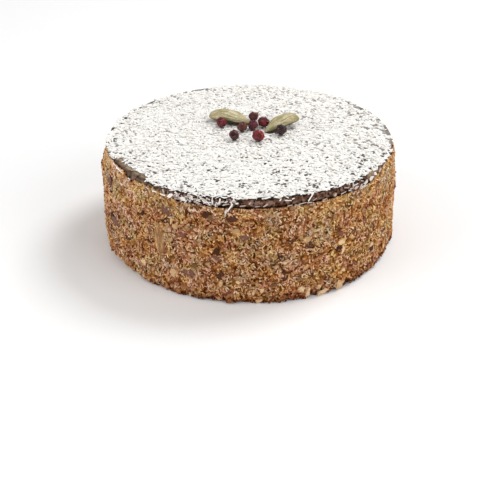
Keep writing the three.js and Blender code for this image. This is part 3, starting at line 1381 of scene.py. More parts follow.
FRUIT_MIXES = (
    Mix(
        "cereal_flakes",
        BitShape.FLAKE,
        count=420,
        length=(1.4, 2.8),
        width=(1.1, 2.0),
        depth=(0.35, 0.6),
        tone=(0.0, 0.6),
        proud=(-0.35, 0.1),
        lean=14.0,
        finish=BitFinish(
            "cereal",
            (
                (0.0, screen(152, 114, 76)),
                (0.6, screen(196, 156, 112)),
                (1.0, screen(228, 196, 152)),
            ),
        ),
        landmarks=known_places(
            (-134.5, 8.4, 4.2, 2.0, -10, 1.0, 0.7),
            (-119.7, 9.0, 4.4, 3.2, 80, 0.75, 0.7),
            (-54.1, 20.5, 4.0, 2.6, 10, 1.0, 0.7),
            (-53.9, 17.0, 3.5, 1.6, 70, 1.0, 0.7),
            (-52.9, 7.8, 2.6, 1.8, 0, 0.9, 0.7),
            (-36.1, 11.8, 3.1, 2.2, 30, 0.8, 0.7),
            (-94.9, 30.9, 3.6, 2.4, 20, 0.45, 0.7),
            (-85.7, 5.8, 2.6, 1.6, 75, 0.9, 0.7),
            (-94.3, 9.3, 2.0, 1.5, 0, 1.0, 0.7),
            (-118.0, 29.3, 2.6, 2.5, 0, 0.6, 0.7),
            (-69.5, 25.6, 4.0, 3.2, 15, 0.55, 0.7),
            (-119.6, 31.2, 4.0, 1.0, 80, 0.9, 0.7),
            (-100.8, 7.9, 3.5, 1.7, 75, 0.7, 0.7),
            (-77.5, 17.2, 1.8, 1.4, 0, 0.9, 0.7),
            (-17.3, 21.0, 5.0, 3.0, 80, 0.75, 0.9),
            (-65.2, 28.6, 4.0, 0.9, 12, 0.9, 0.6),
        ),
        seed=13,
    ),
    Mix(
        "fruit_shreds",
        BitShape.SLIVER,
        count=1000,
        length=(1.0, 2.2),
        width=(0.4, 0.75),
        depth=(0.35, 0.6),
        tone=(0.0, 1.0),
        proud=(-0.1, 0.2),
        finish=BitFinish(
            "red_fruit",
            (
                (0.0, screen(104, 58, 36)),
                (0.5, screen(150, 92, 60)),
                (1.0, screen(186, 128, 92)),
            ),
        ),
        seed=14,
    ),
    Mix(
        "fruit_pieces",
        BitShape.NUGGET,
        count=90,
        length=(1.6, 3.4),
        width=(1.4, 2.4),
        depth=(1.2, 2.0),
        tone=(0.1, 1.0),
        band=(1.5, 36.0),
        proud=(-0.8, -0.25),
        lean=10.0,
        finish=BitFinish(
            "dark_fruit",
            (
                (0.0, screen(60, 32, 18)),
                (0.3, screen(90, 54, 36)),
                (0.5, screen(126, 90, 78)),
                (0.7, screen(128, 70, 44)),
                (1.0, screen(120, 98, 64)),
            ),
            roughness=0.65,
            grain=0.7 * MM,
        ),
        landmarks=known_places(
            (-151.6, 18.4, 6.4, 4.6, 0, 0.5, 2.0),
            (-154.6, 19.6, 4.1, 4.1, 0, 0.1),
            (-155.8, 34.5, 5.6, 4.2, 60, 0.45, 1.8),
            (-132.8, 30.1, 3.5, 3.0, 70, 0.05),
            (-129.6, 24.9, 4.9, 4.1, 50, 0.8),
            (-123.1, 30.4, 3.1, 2.0, 0, 0.1),
            (-122.4, 35.2, 5.9, 4.6, 60, 0.45, 1.8),
            (-115.6, 26.6, 4.6, 3.2, 20, 0.6),
            (-129.9, 19.1, 3.0, 2.0, 0, 0.0),
            (-106.1, 36.3, 4.5, 2.7, 80, 0.15),
            (-96.5, 37.0, 4.8, 3.9, 60, 0.25),
            (-104.0, 35.4, 4.3, 2.8, 0, 0.9),
            (-91.7, 27.7, 4.3, 3.0, 10, 0.5),
            (-102.1, 21.5, 3.5, 2.7, 80, 0.1),
            (-103.2, 18.8, 4.2, 3.4, 30, 0.5),
            (-100.4, 11.8, 4.7, 3.2, 75, 0.2),
            (-81.7, 34.0, 5.1, 2.6, 5, 0.9),
            (-79.0, 19.1, 3.6, 2.7, 80, 0.1),
            (-77.4, 10.2, 3.8, 3.0, 10, 0.2),
            (-91.8, 8.5, 4.7, 3.0, 80, 0.7),
            (-67.8, 22.7, 4.6, 3.0, 10, 0.3),
            (-55.3, 17.9, 3.2, 2.8, 0, 0.05),
            (-54.3, 24.9, 3.5, 3.2, 45, 0.65),
            (-113.4, 10.8, 6.2, 3.5, 5, 0.5, 1.8),
            (-74.7, 25.7, 2.8, 2.6, 0, 0.3),
            (-35.9, 9.9, 3.6, 3.1, 60, 0.1),
            (-143.5, 15.6, 4.2, 2.6, 10, 0.25),
            (-42.2, 24.6, 4.9, 3.0, 85, 0.65),
            (-29.0, 32.8, 5.4, 2.7, 85, 0.9),
            (-173.0, 34.0, 3.0, 2.4, 80, 0.1),
            (-173.5, 29.6, 3.2, 2.2, 70, 0.2),
            (-172.0, 13.6, 3.0, 2.8, 60, 0.1),
            (-170.0, 7.0, 2.8, 2.0, 70, 0.2),
        ),
        seed=15,
    ),
    Mix(
        "foot_nuts",
        BitShape.NUGGET,
        count=40,
        length=(1.4, 3.0),
        width=(1.2, 2.2),
        depth=(1.2, 2.0),
        tone=(0.2, 1.0),
        band=(1.0, 5.0),
        proud=(-0.9, -0.1),
        lean=20.0,
        finish=BitFinish(
            "toasted_nut",
            (
                (0.0, screen(88, 54, 30)),
                (0.4, screen(156, 104, 60)),
                (0.75, screen(192, 142, 94)),
                (1.0, screen(230, 202, 164)),
            ),
            foot_shaded=False,
        ),
        landmarks=known_places(
            (-86.7, 1.3, 2.3, 1.7, 0, 0.9, 1.4, 0.5),
            (-101.3, 1.8, 2.3, 1.3, 0, 0.8, 1.4, 0.4),
            (-62.2, 1.4, 4.4, 2.3, 0, 0.9, 1.6, 1.0),
            (-64.4, 4.4, 2.2, 1.8, 0, 0.85, 1.4, 0.4),
            (-68.6, 2.4, 4.2, 2.2, 85, 0.9, 1.4, 0.5),
            (-54.9, 2.6, 4.4, 3.6, 80, 0.85, 1.4, 0.5),
            (-35.5, 1.4, 4.0, 2.6, 0, 0.5),
            (-123.2, 1.6, 2.0, 1.8, 0, 0.6),
            (-112.5, 1.2, 2.5, 1.8, 0, 0.9),
            (-88.9, 5.0, 2.6, 1.4, 85, 0.9),
            (-144.1, 4.0, 4.6, 3.2, 10, 0.5),
        ),
        seed=16,
    ),
)


@dataclass(frozen=True)
class AlmondSliver:
    """A pale almond sliver that lies upright against the front of the side, its point down."""

    azimuth: float = -124.9
    height: float = 20.4
    slant: float = -89.0
    length: float = 14.6
    width: float = 5.2
    sunk: float = 0.35

    def build(self, cake: CakeMeasures) -> bpy.types.Object:
        """Models the sliver in its place.

        Args:
            cake: Sizes of the whole cake.

        Returns:
            The sliver, paler along the lower half of its left edge.
        """
        bm = bmesh.new()
        bmesh.ops.create_uvsphere(bm, u_segments=40, v_segments=28, radius=1.0)
        bmesh.ops.rotate(bm, verts=bm.verts, matrix=Matrix.Rotation(math.pi / 2, 3, "Y"))
        tones = []
        for vertex in bm.verts:
            point = vertex.co
            taper = 1 - 0.45 * point.x
            rough = noise.noise(Vector((2 * point.x, 5 * point.y, 5 * point.z)))
            grain = noise.noise(Vector((2.5 * point.x, 7 * point.y, 7 * point.z)))
            pale = smooth(-point.y, 0.2, 0.8) * smooth(point.x, -0.3, 0.3)
            tones.append(0.1 + 0.75 * pale + 0.5 * rough + 1.0 * grain)
            point.x *= 0.5 * self.length * MM
            point.y *= 0.5 * self.width * (taper + 0.14 * rough) * MM
            point.z *= 0.9 * (1 + 0.3 * rough + 0.45 * grain) * MM
        azimuth = math.radians(self.azimuth)
        turn = turns_on_side(np.array([azimuth]), np.array([math.radians(self.slant)]))[0]
        radius = cake.crumb_radius - self.sunk * MM
        place = Matrix(turn.tolist()).to_4x4()
        place.translation = Vector(
            (radius * math.cos(azimuth), radius * math.sin(azimuth), self.height * MM)
        )
        bmesh.ops.transform(bm, matrix=place, verts=bm.verts)
        piece = object_from_bmesh("almond_sliver", bm)
        point_values(piece, "tone", tones)
        return piece


def turns_on_side(
    angles: np.ndarray,
    spins: np.ndarray,
    leans: np.ndarray | None = None,
    rolls: np.ndarray | None = None,
) -> np.ndarray:
    """Turns bits that lie against the cake's side, their depth facing out.

    Args:
        angles: Where round the cake each lies, in radians.
        spins: How each one's length is turned from level, in radians.
        leans: How far each one's end stands out, in radians.
        rolls: How far each is rolled about its length, in radians.

    Returns:
        A matrix for each bit.
    """
    sines, cosines, zeros = np.sin(angles), np.cos(angles), np.zeros(len(angles))
    return directions(
        np.stack([-sines, cosines, zeros], axis=1),
        np.stack([zeros, zeros, zeros + 1], axis=1),
        spins,
        zeros if leans is None else leans,
        zeros if rolls is None else rolls,
    )


def turns_on_top(spins: np.ndarray, leans: np.ndarray, rolls: np.ndarray) -> np.ndarray:
    """Turns bits that lie on level ground, their depth facing up.

    Args:
        spins: How each one's length is turned from +X, in radians.
        leans: How far each one's end is lifted, in radians.
        rolls: How far each is rolled about its length, in radians.

    Returns:
        A matrix for each bit.
    """
    ones, zeros = np.ones(len(spins)), np.zeros(len(spins))
    along_x = np.stack([ones, zeros, zeros], axis=1)
    along_y = np.stack([zeros, ones, zeros], axis=1)
    return directions(along_x, along_y, spins, leans, rolls)


def landmark_scatter(marks: tuple[Landmark, ...], centres: np.ndarray, hue: float) -> Scatter:
    """Bits whose place is known, laid against the side.

    Args:
        marks: Their slants, sizes and tones.
        centres: Where their middles lie.
        hue: The hue of all of them, from 0 to 1.

    Returns:
        Where they lie.
    """
    angles = np.radians([mark.azimuth for mark in marks])
    return Scatter(
        centres,
        turns_on_side(angles, np.radians([mark.slant for mark in marks])),
        np.array([(mark.length, mark.width, mark.depth) for mark in marks]) * MM,
        np.array([mark.tone for mark in marks]),
        np.full(len(marks), hue),
    )


@dataclass
class CrumbBody:
    """The pressed body of nuts, cereal and dried fruit.

    Attributes:
        cake: Sizes of the whole cake.
        columns: Corners round the core.
        row: Height of one row of the core's side.
        rim_crumbs: How many crumbs lie on the rim round the icing.
        underside_bits: How many bits are pressed flat in the underside.
        mixes: The kinds of bits on the side.
    """

    cake: CakeMeasures
    columns: int = 640
    row: float = 0.6 * MM
    rim_crumbs: int = 1500
    underside_bits: int = 3500
    mixes: tuple[Mix, ...] = GRAIN_MIXES + FRUIT_MIXES

    def outline(self) -> list[tuple[float, float]]:
        """The core's profile, from the axis underneath to the axis under the icing.

        Returns:
            Pairs of radius and height.
        """
        inside = self.cake.icing_radius + 0.15 * MM
        core_radius = self.cake.crumb_radius - 0.25 * MM
        foot_round = 0.8 * MM
        under = 0.15 * MM
        points = [(share * (core_radius - foot_round), under) for share in (0, 0.4, 0.7, 0.9, 1)]
        rows = round((self.cake.crumb_top - foot_round) / self.row)
        points += [
            (core_radius, lerp(foot_round, self.cake.crumb_top, i / rows)) for i in range(rows + 1)
        ]
        points += [
            (core_radius - 0.05 * MM, self.cake.crumb_top + 0.5 * self.cake.lip_rise),
            (core_radius - 0.15 * MM, self.cake.crumb_top + self.cake.lip_rise),
            (inside, self.cake.crumb_top + 0.9 * self.cake.lip_rise),
            (inside - 0.05 * MM, self.cake.crumb_top),
            (0.5 * inside, self.cake.crumb_top),
            (0.0, self.cake.crumb_top),
        ]
        return points

    def build_core(self) -> bpy.types.Object:
        """Spins the core's profile and gives its side the relief of pressed bits.

        Returns:
            The core.
        """
        bm = spun(self.outline(), self.columns)
        tones = [self.shape_point(vertex.co) for vertex in bm.verts]
        hues = [noise.cell(vertex.co / (1.7 * MM)) for vertex in bm.verts]
        piece = object_from_bmesh("crumb_core", bm)
        point_values(piece, "tone", tones)
        point_values(piece, "hue", hues)
        return piece

    def shape_point(self, point: Vector) -> float:
        """Moves a point of the core to where the relief puts it.

        Args:
            point: The point, changed in place.

        Returns:
            The tone of the crumb there: lighter on the lumps, dark between them.
        """
        cake = self.cake
        radius = math.hypot(point.x, point.y)
        angle = math.atan2(point.y, point.x)
        nearest, _ = noise.voronoi(point / (1.7 * MM))
        lump = max(0.0, 1 - 1.25 * nearest[0])
        if radius > cake.icing_radius + 0.1 * MM:
            out = cake.crag(point) + 0.5 * MM * (lump - 0.4)
            grown = 1 + out / radius
            point.x *= grown
            point.y *= grown
        if point.z > cake.crumb_top + 1e-6:
            share = (point.z - cake.crumb_top) / cake.lip_rise
            point.z = cake.crumb_top + share * cake.lip_height(angle)
        patches = sum(float(patch.lightness(angle, point.z)) for patch in PATCHES)
        return 0.02 + 0.5 * lump + patches

    def side_scatter(self, mix: Mix) -> Scatter:
        """Spreads one kind of bit over the side, and adds those whose place is known.

        Args:
            mix: The kind.

        Returns:
            Where its bits lie.
        """
        draw = np.random.default_rng(mix.seed)
        count = mix.count
        angles = draw.uniform(0, FULL_TURN, count)
        low, high = mix.band
        rims = np.array([(self.cake.crumb_top + self.cake.lip_height(a)) / MM for a in angles])
        heights = (low + (np.minimum(high, rims) - low) * draw.uniform(0, 1, count)) * MM
        lean = math.radians(mix.lean)
        turns = turns_on_side(
            angles,
            draw.uniform(0, math.pi, count),
            draw.normal(0, 0.5 * lean, count).clip(-lean, lean),
            draw.normal(0, lean, count),
        )
        proud = draw.uniform(*mix.proud, count) * MM
        centres = self.places_on_side(angles, heights, proud)
        spans = (mix.length, mix.width, mix.depth)
        scatter = Scatter.drawn(draw, centres, turns, spans, mix.tone)
        # Painted shade: bits within 1.2 mm below the rim are darkened, as in the shadow under the
        # icing's edge.
        scatter.tones -= 0.2 * np.clip(heights / MM - rims + 1.2, 0, 1)
        scatter.tones += sum(patch.lightness(angles, heights) for patch in PATCHES)
        if not mix.landmarks:
            return scatter
        marks = mix.landmarks
        angles = np.radians([mark.azimuth for mark in marks])
        heights = np.array([mark.height for mark in marks]) * MM
        dark = np.array([0.1 * (mark.tone < 0.35) for mark in marks])
        proud = (sum(mix.proud) / 2 + 0.12 + dark + np.array([mark.out for mark in marks])) * MM
        centres = self.places_on_side(angles, heights, proud)
        return scatter.with_more(landmark_scatter(marks, centres, hue=0.5))

    def places_on_side(
        self, angles: np.ndarray, heights: np.ndarray, proud: np.ndarray
    ) -> np.ndarray:
        """Points on the craggy side.

        Args:
            angles: Where round the cake, in radians.
            heights: How high.
            proud: How far out of the side.

        Returns:
            The points.
        """
        base = self.cake.crumb_radius
        crags = np.array(
            [
                self.cake.crag(Vector((base * math.cos(angle), base * math.sin(angle), height)))
                for angle, height in zip(angles, heights)
            ]
        )
        return round_places(base + crags + proud, angles, heights)

    def rim_scatter(self) -> Scatter:
        """Crumbs on the narrow rim round the icing.

        Returns:
            Where they lie.
        """
        draw = np.random.default_rng(17)
        count = self.rim_crumbs
        angles = draw.uniform(0, FULL_TURN, count)
        outer = self.cake.crumb_radius - 0.3 * MM
        radii = draw.uniform(self.cake.icing_radius + 0.35 * MM, outer, count)
        rims = np.array([self.cake.lip_height(angle) for angle in angles])
        heights = self.cake.crumb_top + rims - draw.uniform(0.1, 0.4, count) * MM
        centres = round_places(radii, angles, heights)
        turns = turns_on_side(
            angles, draw.uniform(0, math.pi, count), rolls=draw.normal(0, 0.6, count)
        )
        return Scatter.drawn(draw, centres, turns, ((0.7, 1.4), (0.5, 0.9), (0.5, 0.8)), (0.1, 0.8))

    def underside_scatter(self) -> Scatter:
        """Bits pressed flat in the underside.

        Returns:
            Where they lie.
        """
        draw = np.random.default_rng(18)
        count = self.underside_bits
        reach = self.cake.crumb_radius - 1.2 * MM
        radii = reach * np.sqrt(draw.uniform(0, 1, count))
        angles = draw.uniform(0, FULL_TURN, count)
        centres = round_places(radii, angles, np.full(count, 0.3 * MM))
        spins = draw.uniform(0, math.pi, count)
        turns = turns_on_top(spins, np.zeros(count), draw.normal(0, 0.3, count))
        return Scatter.drawn(draw, centres, turns, ((1.2, 3.2), (0.9, 2.2), (0.7, 1.0)), (0.1, 0.8))

    def build(self) -> None:
        """Builds the core and every kind of bit on it, and dresses them."""
        crumb = CrumbFinish().material()
        settle(self.build_core(), crumb, "crumb", "crumb_body")
        for mix in self.mixes:
            finish = mix.finish.material() if mix.finish else crumb
            scatter = self.side_scatter(mix)
            settle(scatter.joined(mix.name, mix.shape, floor=0.0), finish, "crumb", "crumb_body")
        for name, scatter in (
            ("rim_crumbs", self.rim_scatter()),
            ("underside_bits", self.underside_scatter()),
        ):
            settle(scatter.joined(name, BitShape.CHIP, floor=0.0), crumb, "crumb", "crumb_body")
        almond = BitFinish(
            "almond",
            (
                (0.0, screen(150, 108, 70)),
                (0.5, screen(186, 144, 98)),
                (1.0, screen(228, 202, 160)),
            ),
        )
        settle(AlmondSliver().build(self.cake), almond.material(), "crumb", "crumb_body")


# The icing


@dataclass
class IcingSlab:
    """The dark icing slab, spread by hand right across the crumb body.

    Attributes:
        cake: Sizes of the whole cake.
        columns: Corners round it.
        rings: Rings of its top.
        wall: The wall's profile: pairs of a share of its height and how far it stands in from the
            icing's edge, in millimetres.
    """

    cake: CakeMeasures
    columns: int = 560
    rings: int = 150
    wall: tuple[tuple[float, float], ...] = (
        (0.02, 0.50),
        (0.12, 0.32),
        (0.22, 0.18),
        (0.36, 0.12),
        (0.50, 0.15),
        (0.62, 0.35),
        (0.74, 0.75),
        (0.84, 0.80),
        (0.92, 0.30),
        (0.98, 0.22),
    )

    def outline(self) -> list[tuple[float, float]]:
        """The slab's profile, from the axis underneath to the axis on top.

        Returns:
            Pairs of radius and height.
        """
        cake = self.cake
        edge = cake.icing_radius
        top = cake.icing_top - 0.28 * MM
        points = [(0.0, cake.icing_floor), (edge - 1.2 * MM, cake.icing_floor)]
        points += [
            (edge - inset * MM, lerp(cake.icing_floor, top, share)) for share, inset in self.wall
        ]
        for i in range(self.rings + 1):
            share = 1 - i / self.rings
            points.append((share * (edge - 0.5 * MM), top))
        return points

    def build(self) -> None:
        """Spins the slab, makes its wall wavy and its top uneven, and dresses it."""
        cake = self.cake
        bm = spun(self.outline(), self.columns)
        wall_from = cake.icing_radius - 0.9 * MM
        top = cake.icing_top - 0.4 * MM
        bare, smear = [], []
        for vertex in bm.verts:
            point = vertex.co
            bare.append(cake.bareness(point.x, point.y))
            smear.append(cake.smeared(point))
            radius = math.hypot(point.x, point.y)
            if radius > wall_from:
                dab = noise.noise(Vector((point.x, point.y, 2.5 * point.z)) / (3.5 * MM))
                wave = noise.noise(point / (11 * MM))
                grown = 1 + (0.2 * dab + 0.3 * wave - 0.1) * MM / radius
                point.x *= grown
                point.y *= grown
            if point.z > top:
                lift = cake.top_height(point.x, point.y) - cake.icing_top
                rough = noise.noise(point / (2.2 * MM))
                point.z += lift + 0.12 * MM * rough
        piece = object_from_bmesh("icing_slab", bm)
        point_values(piece, "bare", bare)
        point_values(piece, "smear", smear)
        settle(piece, IcingFinish().material(), "icing_coconut", "icing_with_coconut")


# The coconut


@dataclass(frozen=True)
class Drift:
    """A stretch of the icing's edge that caught loose shreds.

    Attributes:
        azimuth: Its middle, in degrees from +X.
        reach: How far it goes to either side, in degrees.
        share: How thickly the shreds lie there, from 0 to 1.
    """

    azimuth: float
    reach: float
    share: float

    def catch(self, angle: float) -> float:
        """How thickly its shreds lie at an angle in radians."""
        away = abs(math.remainder(angle - math.radians(self.azimuth), FULL_TURN))
        return self.share * (1 - smooth(math.degrees(away), 0.7 * self.reach, self.reach))


@dataclass
class Coconut:
    """Desiccated coconut: short flakes under longer shreds, and loose shreds at the rim.

    Attributes:
        cake: Sizes of the whole cake.
        flakes: How many short flakes are drawn for the icing.
        shreds: How many longer, bent shreds are drawn to lie on those.
        rim: How many shreds lie along the edge.
        loose: How many are drawn for the icing's side, and as many for the ledge under it.
        side_drifts: Where the icing's side caught them.
        ledge_drifts: Where the ledge caught them.
        chunks: Thick bits whose place is known.
        marks: Straight slivers whose place is known.
        mark_reach: How far out those lie, from the cake's axis, in millimetres.
    """

    cake: CakeMeasures
    flakes: int = 10800
    shreds: int = 2600
    rim: int = 620
    loose: int = 1000
    side_drifts: tuple[Drift, ...] = (
        Drift(-110, 12, 1.0),
        Drift(-99, 6, 0.7),
        Drift(-43, 7, 0.15),
        Drift(-124, 4, 0.2),
        Drift(-75, 30, 0.08),
        Drift(90, 80, 0.12),
    )
    ledge_drifts: tuple[Drift, ...] = (
        Drift(-42, 8, 0.12),
        Drift(90, 90, 0.3),
    )
    chunks: tuple[Landmark, ...] = known_places(
        (-58.4, 41.2, 2.2, 1.1, 40, 0.9, 0.7),
        (-48.4, 41.3, 2.8, 1.3, 14, 0.8, 0.8),
        (-45.8, 41.0, 1.8, 1.2, 50, 0.9, 0.7),
        (-43.0, 41.7, 2.8, 1.5, 24, 0.7, 0.8),
        (-39.6, 42.0, 3.0, 1.7, 10, 0.7, 0.8),
        (-37.0, 42.9, 2.4, 1.4, -30, 0.6, 0.8),
        (-33.6, 43.3, 2.4, 1.4, 24, 0.8, 0.8),
        (-30.6, 43.6, 1.8, 1.2, 30, 0.9, 0.6),
        (-119.5, 41.6, 2.8, 1.5, 38, 0.5, 0.7),
        (-114.0, 41.4, 3.0, 1.4, -12, 0.6, 0.7),
        (-98.4, 38.8, 2.2, 1.4, 75, 0.7, 0.7),
    )
    marks: tuple[Landmark, ...] = known_places(
        (-97.0, 40.3, 3.4, 0.7, 57, 0.3, 0.4),
        (-68.2, 42.8, 3.2, 0.6, 55, 0.4, 0.4),
        (-71.4, 40.8, 2.6, 0.45, 7, 1.0, 0.3),
        (-68.6, 40.6, 2.0, 0.5, -5, 1.0, 0.3),
        (-76.0, 40.6, 1.8, 0.4, 6, 1.0, 0.3),
        (-73.6, 40.5, 1.2, 0.4, -8, 1.0, 0.3),
        (-62.6, 40.7, 2.0, 0.5, 10, 0.9, 0.3),
        (-54.6, 41.1, 2.4, 0.5, 9, 0.8, 0.3),
        (-51.4, 41.2, 1.6, 0.5, -6, 0.7, 0.3),
        (-74.8, 43.2, 1.1, 0.6, 20, 0.6, 0.3),
        (-84.6, 41.4, 1.8, 0.6, 35, 0.8, 0.3),
        (-79.4, 43.3, 0.9, 0.6, 60, 0.6, 0.3),
        (-87.4, 41.0, 1.6, 0.4, 5, 1.0, 0.3),
        (-92.4, 41.3, 2.0, 0.45, 8, 0.9, 0.3),
        (-90.0, 42.4, 1.0, 0.5, 50, 0.8, 0.3),
        (-153.6, 44.0, 1.8, 0.4, -10, 0.9, 0.4),
        (-151.0, 43.5, 2.8, 0.6, -7, 0.6, 0.5),
        (-148.2, 43.1, 3.0, 0.9, 4, 0.5, 0.5),
        (-145.4, 42.7, 2.4, 0.7, -8, 0.6, 0.5),
        (-140.0, 41.9, 1.4, 0.6, 0, 0.6, 0.4),
        (-133.4, 41.6, 1.6, 0.5, 8, 0.8, 0.3),
        (-129.8, 41.7, 1.8, 0.5, -4, 0.7, 0.3),
        (-126.4, 41.4, 2.2, 0.6, 5, 0.5, 0.4),
        (-122.6, 41.2, 2.0, 0.6, -6, 0.5, 0.4),
    )
    mark_reach: float = 59.3

    def on_top(
        self, count: int, length: Span, width: Span, depth: Span, lift: Span, seed: int
    ) -> Scatter:
        """Spreads coconut over the icing's top.

        Args:
            count: How many shreds are drawn; those over bare icing are left out.
            length: Their lengths in millimetres.
            width: Their widths in millimetres.
            depth: Their thicknesses in millimetres.
            lift: How far their middles lie over the icing, in millimetres.
            seed: For the draw.

        Returns:
            Where they lie.
        """
        draw = np.random.default_rng(seed)
        radii = self.cake.icing_radius * np.sqrt(draw.uniform(0, 1, count))
        angles = draw.uniform(0, FULL_TURN, count)
        x, y = radii * np.cos(angles), radii * np.sin(angles)
        ground = np.array([self.cake.top_height(*place) for place in zip(x, y)])
        heights = ground - 0.35 * MM + draw.uniform(*lift, count) * MM
        turns = turns_on_top(
            draw.uniform(0, math.pi, count),
            draw.normal(0, math.radians(3), count),
            draw.normal(0, math.radians(8), count),
        )
        centres = np.stack([x, y, heights], axis=1)
        scatter = Scatter.drawn(draw, centres, turns, (length, width, depth), (0.0, 1.0))
        to_ends = 0.4 * scatter.sizes[:, :1] * turns[:, :, 0]
        bare = [
            max(self.cake.bareness(*place[:2]) for place in (middle - end, middle, middle + end))
            for middle, end in zip(centres, to_ends)
        ]
        return scatter.kept(draw.uniform(0, 1, count) >= np.array(bare))

    def along_edge(self) -> Scatter:
        """Shreds that lie along the edge of the icing and lean over it.

        Returns:
            Where they lie.
        """
        draw = np.random.default_rng(23)
        count = self.rim
        angles = draw.uniform(0, FULL_TURN, count)
        radii = self.cake.icing_radius - draw.uniform(-0.1, 1.4, count) * MM
        heights = self.cake.icing_top + draw.uniform(-0.35, 0.2, count) * MM
        centres = round_places(radii, angles, heights)
        scatter = Scatter.drawn(
            draw,
            centres,
            self.lying(draw, angles, 35),
            ((1.2, 2.6), (0.45, 0.8), (0.18, 0.3)),
            (0.0, 1.0),
        )
        bare = np.array([self.cake.scraped(*place[:2]) for place in centres])
        return scatter.kept(bare < 0.5)

    def lying(self, draw: np.random.Generator, angles: np.ndarray, spread: float) -> np.ndarray:
        """Turns shreds that lie flat along the cake's edge.

        Args:
            draw: The source of their directions.
            angles: Where round the cake each lies, in radians.
            spread: How far most of them are turned from the edge's direction, in degrees.

        Returns:
            A matrix for each.
        """
        count = len(angles)
        sines, cosines, zeros = np.sin(angles), np.cos(angles), np.zeros(count)
        return directions(
            np.stack([-sines, cosines, zeros], axis=1),
            np.stack([-cosines, -sines, zeros], axis=1),
            draw.normal(0, math.radians(spread), count),
            draw.normal(0, math.radians(8), count),
            draw.normal(math.radians(-15), math.radians(20), count),
        )

    def caught(self, draw: np.random.Generator, drifts: tuple[Drift, ...]) -> np.ndarray:
        """Draws loose shreds round the cake, and keeps those that the edge caught.

        Args:
            draw: The source of them.
            drifts: Where the edge caught them.

        Returns:
            Where round the cake each lies, in radians.
        """
        angles = draw.uniform(0, FULL_TURN, self.loose)
        shares = np.array([max(drift.catch(angle) for drift in drifts) for angle in angles])
        return angles[draw.uniform(0, 1, self.loose) < shares]

    def on_side(self) -> Scatter:
        """Loose shreds stuck to the icing's side.

        Returns:
            Where they lie.
        """
        draw = np.random.default_rng(24)
        angles = self.caught(draw, self.side_drifts)
        count = len(angles)
        radii = self.cake.icing_radius + draw.uniform(-0.2, 0.25, count) * MM
        low, high = self.cake.icing_floor + 0.3 * MM, self.cake.icing_floor + 3.0 * MM
        centres = round_places(radii, angles, draw.uniform(low, high, count))
        turns = turns_on_side(
            angles,
            draw.normal(0, math.radians(48), count),
            draw.normal(0, math.radians(14), count),
            draw.normal(math.radians(-10), math.radians(35), count),
        )
        return Scatter.drawn(
            draw, centres, turns, ((1.0, 2.6), (0.4, 0.8), (0.25, 0.5)), (0.2, 1.1)
        )

    def on_ledge(self) -> Scatter:
        """Thin loose shreds that fell on the ledge round the icing.

        Returns:
            Where they lie.
        """
        draw = np.random.default_rng(25)
        angles = self.caught(draw, self.ledge_drifts)
        count = len(angles)
        radii = self.cake.icing_radius + draw.uniform(0.1, 1.4, count) * MM
        rims = np.array([self.cake.lip_height(angle) for angle in angles])
        heights = self.cake.crumb_top + rims + draw.uniform(0.1, 0.45, count) * MM
        centres = round_places(radii, angles, heights)
        return Scatter.drawn(
            draw,
            centres,
            self.lying(draw, angles, 16),
            ((1.6, 4.2), (0.3, 0.6), (0.2, 0.35)),
            (0.0, 1.0),
        )

    def marked(self, marks: tuple[Landmark, ...]) -> Scatter:
        """The loose bits whose place is known.

        Args:
            marks: Their places and sizes.

        Returns:
            Where they lie.
        """
        angles = np.radians([mark.azimuth for mark in marks])
        heights = np.array([mark.height for mark in marks]) * MM
        centres = round_places(self.mark_reach * MM, angles, heights)
        return landmark_scatter(marks, centres, hue=0.0)

    def build(self) -> None:
        """Builds every kind and dresses them."""
        flakes = self.on_top(self.flakes, (1.3, 2.4), (0.8, 1.4), (0.1, 0.15), (0.06, 0.2), 21)
        shreds = self.on_top(self.shreds, (1.5, 2.8), (0.5, 0.9), (0.16, 0.26), (0.25, 0.5), 22)
        loose = self.on_side().with_more(self.on_ledge())
        white = CoconutFinish().material()
        # The loose bits on the icing's side and ledge get a greyer tint: painted shade.
        shaded_coconut_finish = CoconutFinish("shaded_coconut", cream_and_shade=screen(196, 174, 164), cream_and_shade_from=0.6)
        bits = shaded_coconut_finish.material()
        for name, shape, scatter, finish in (
            ("coconut_flakes", BitShape.SHRED, flakes, white),
            ("coconut_shreds", BitShape.STRAND, shreds, white),
            ("coconut_rim", BitShape.STRAND, self.along_edge(), white),
            ("coconut_loose", BitShape.SLIVER, loose, bits),
            ("coconut_chunks", BitShape.CHIP, self.marked(self.chunks), bits),
            ("coconut_slivers", BitShape.SLIVER, self.marked(self.marks), bits),
        ):
            settle(scatter.joined(name, shape), finish, "icing_coconut", "icing_with_coconut")


# The toppings


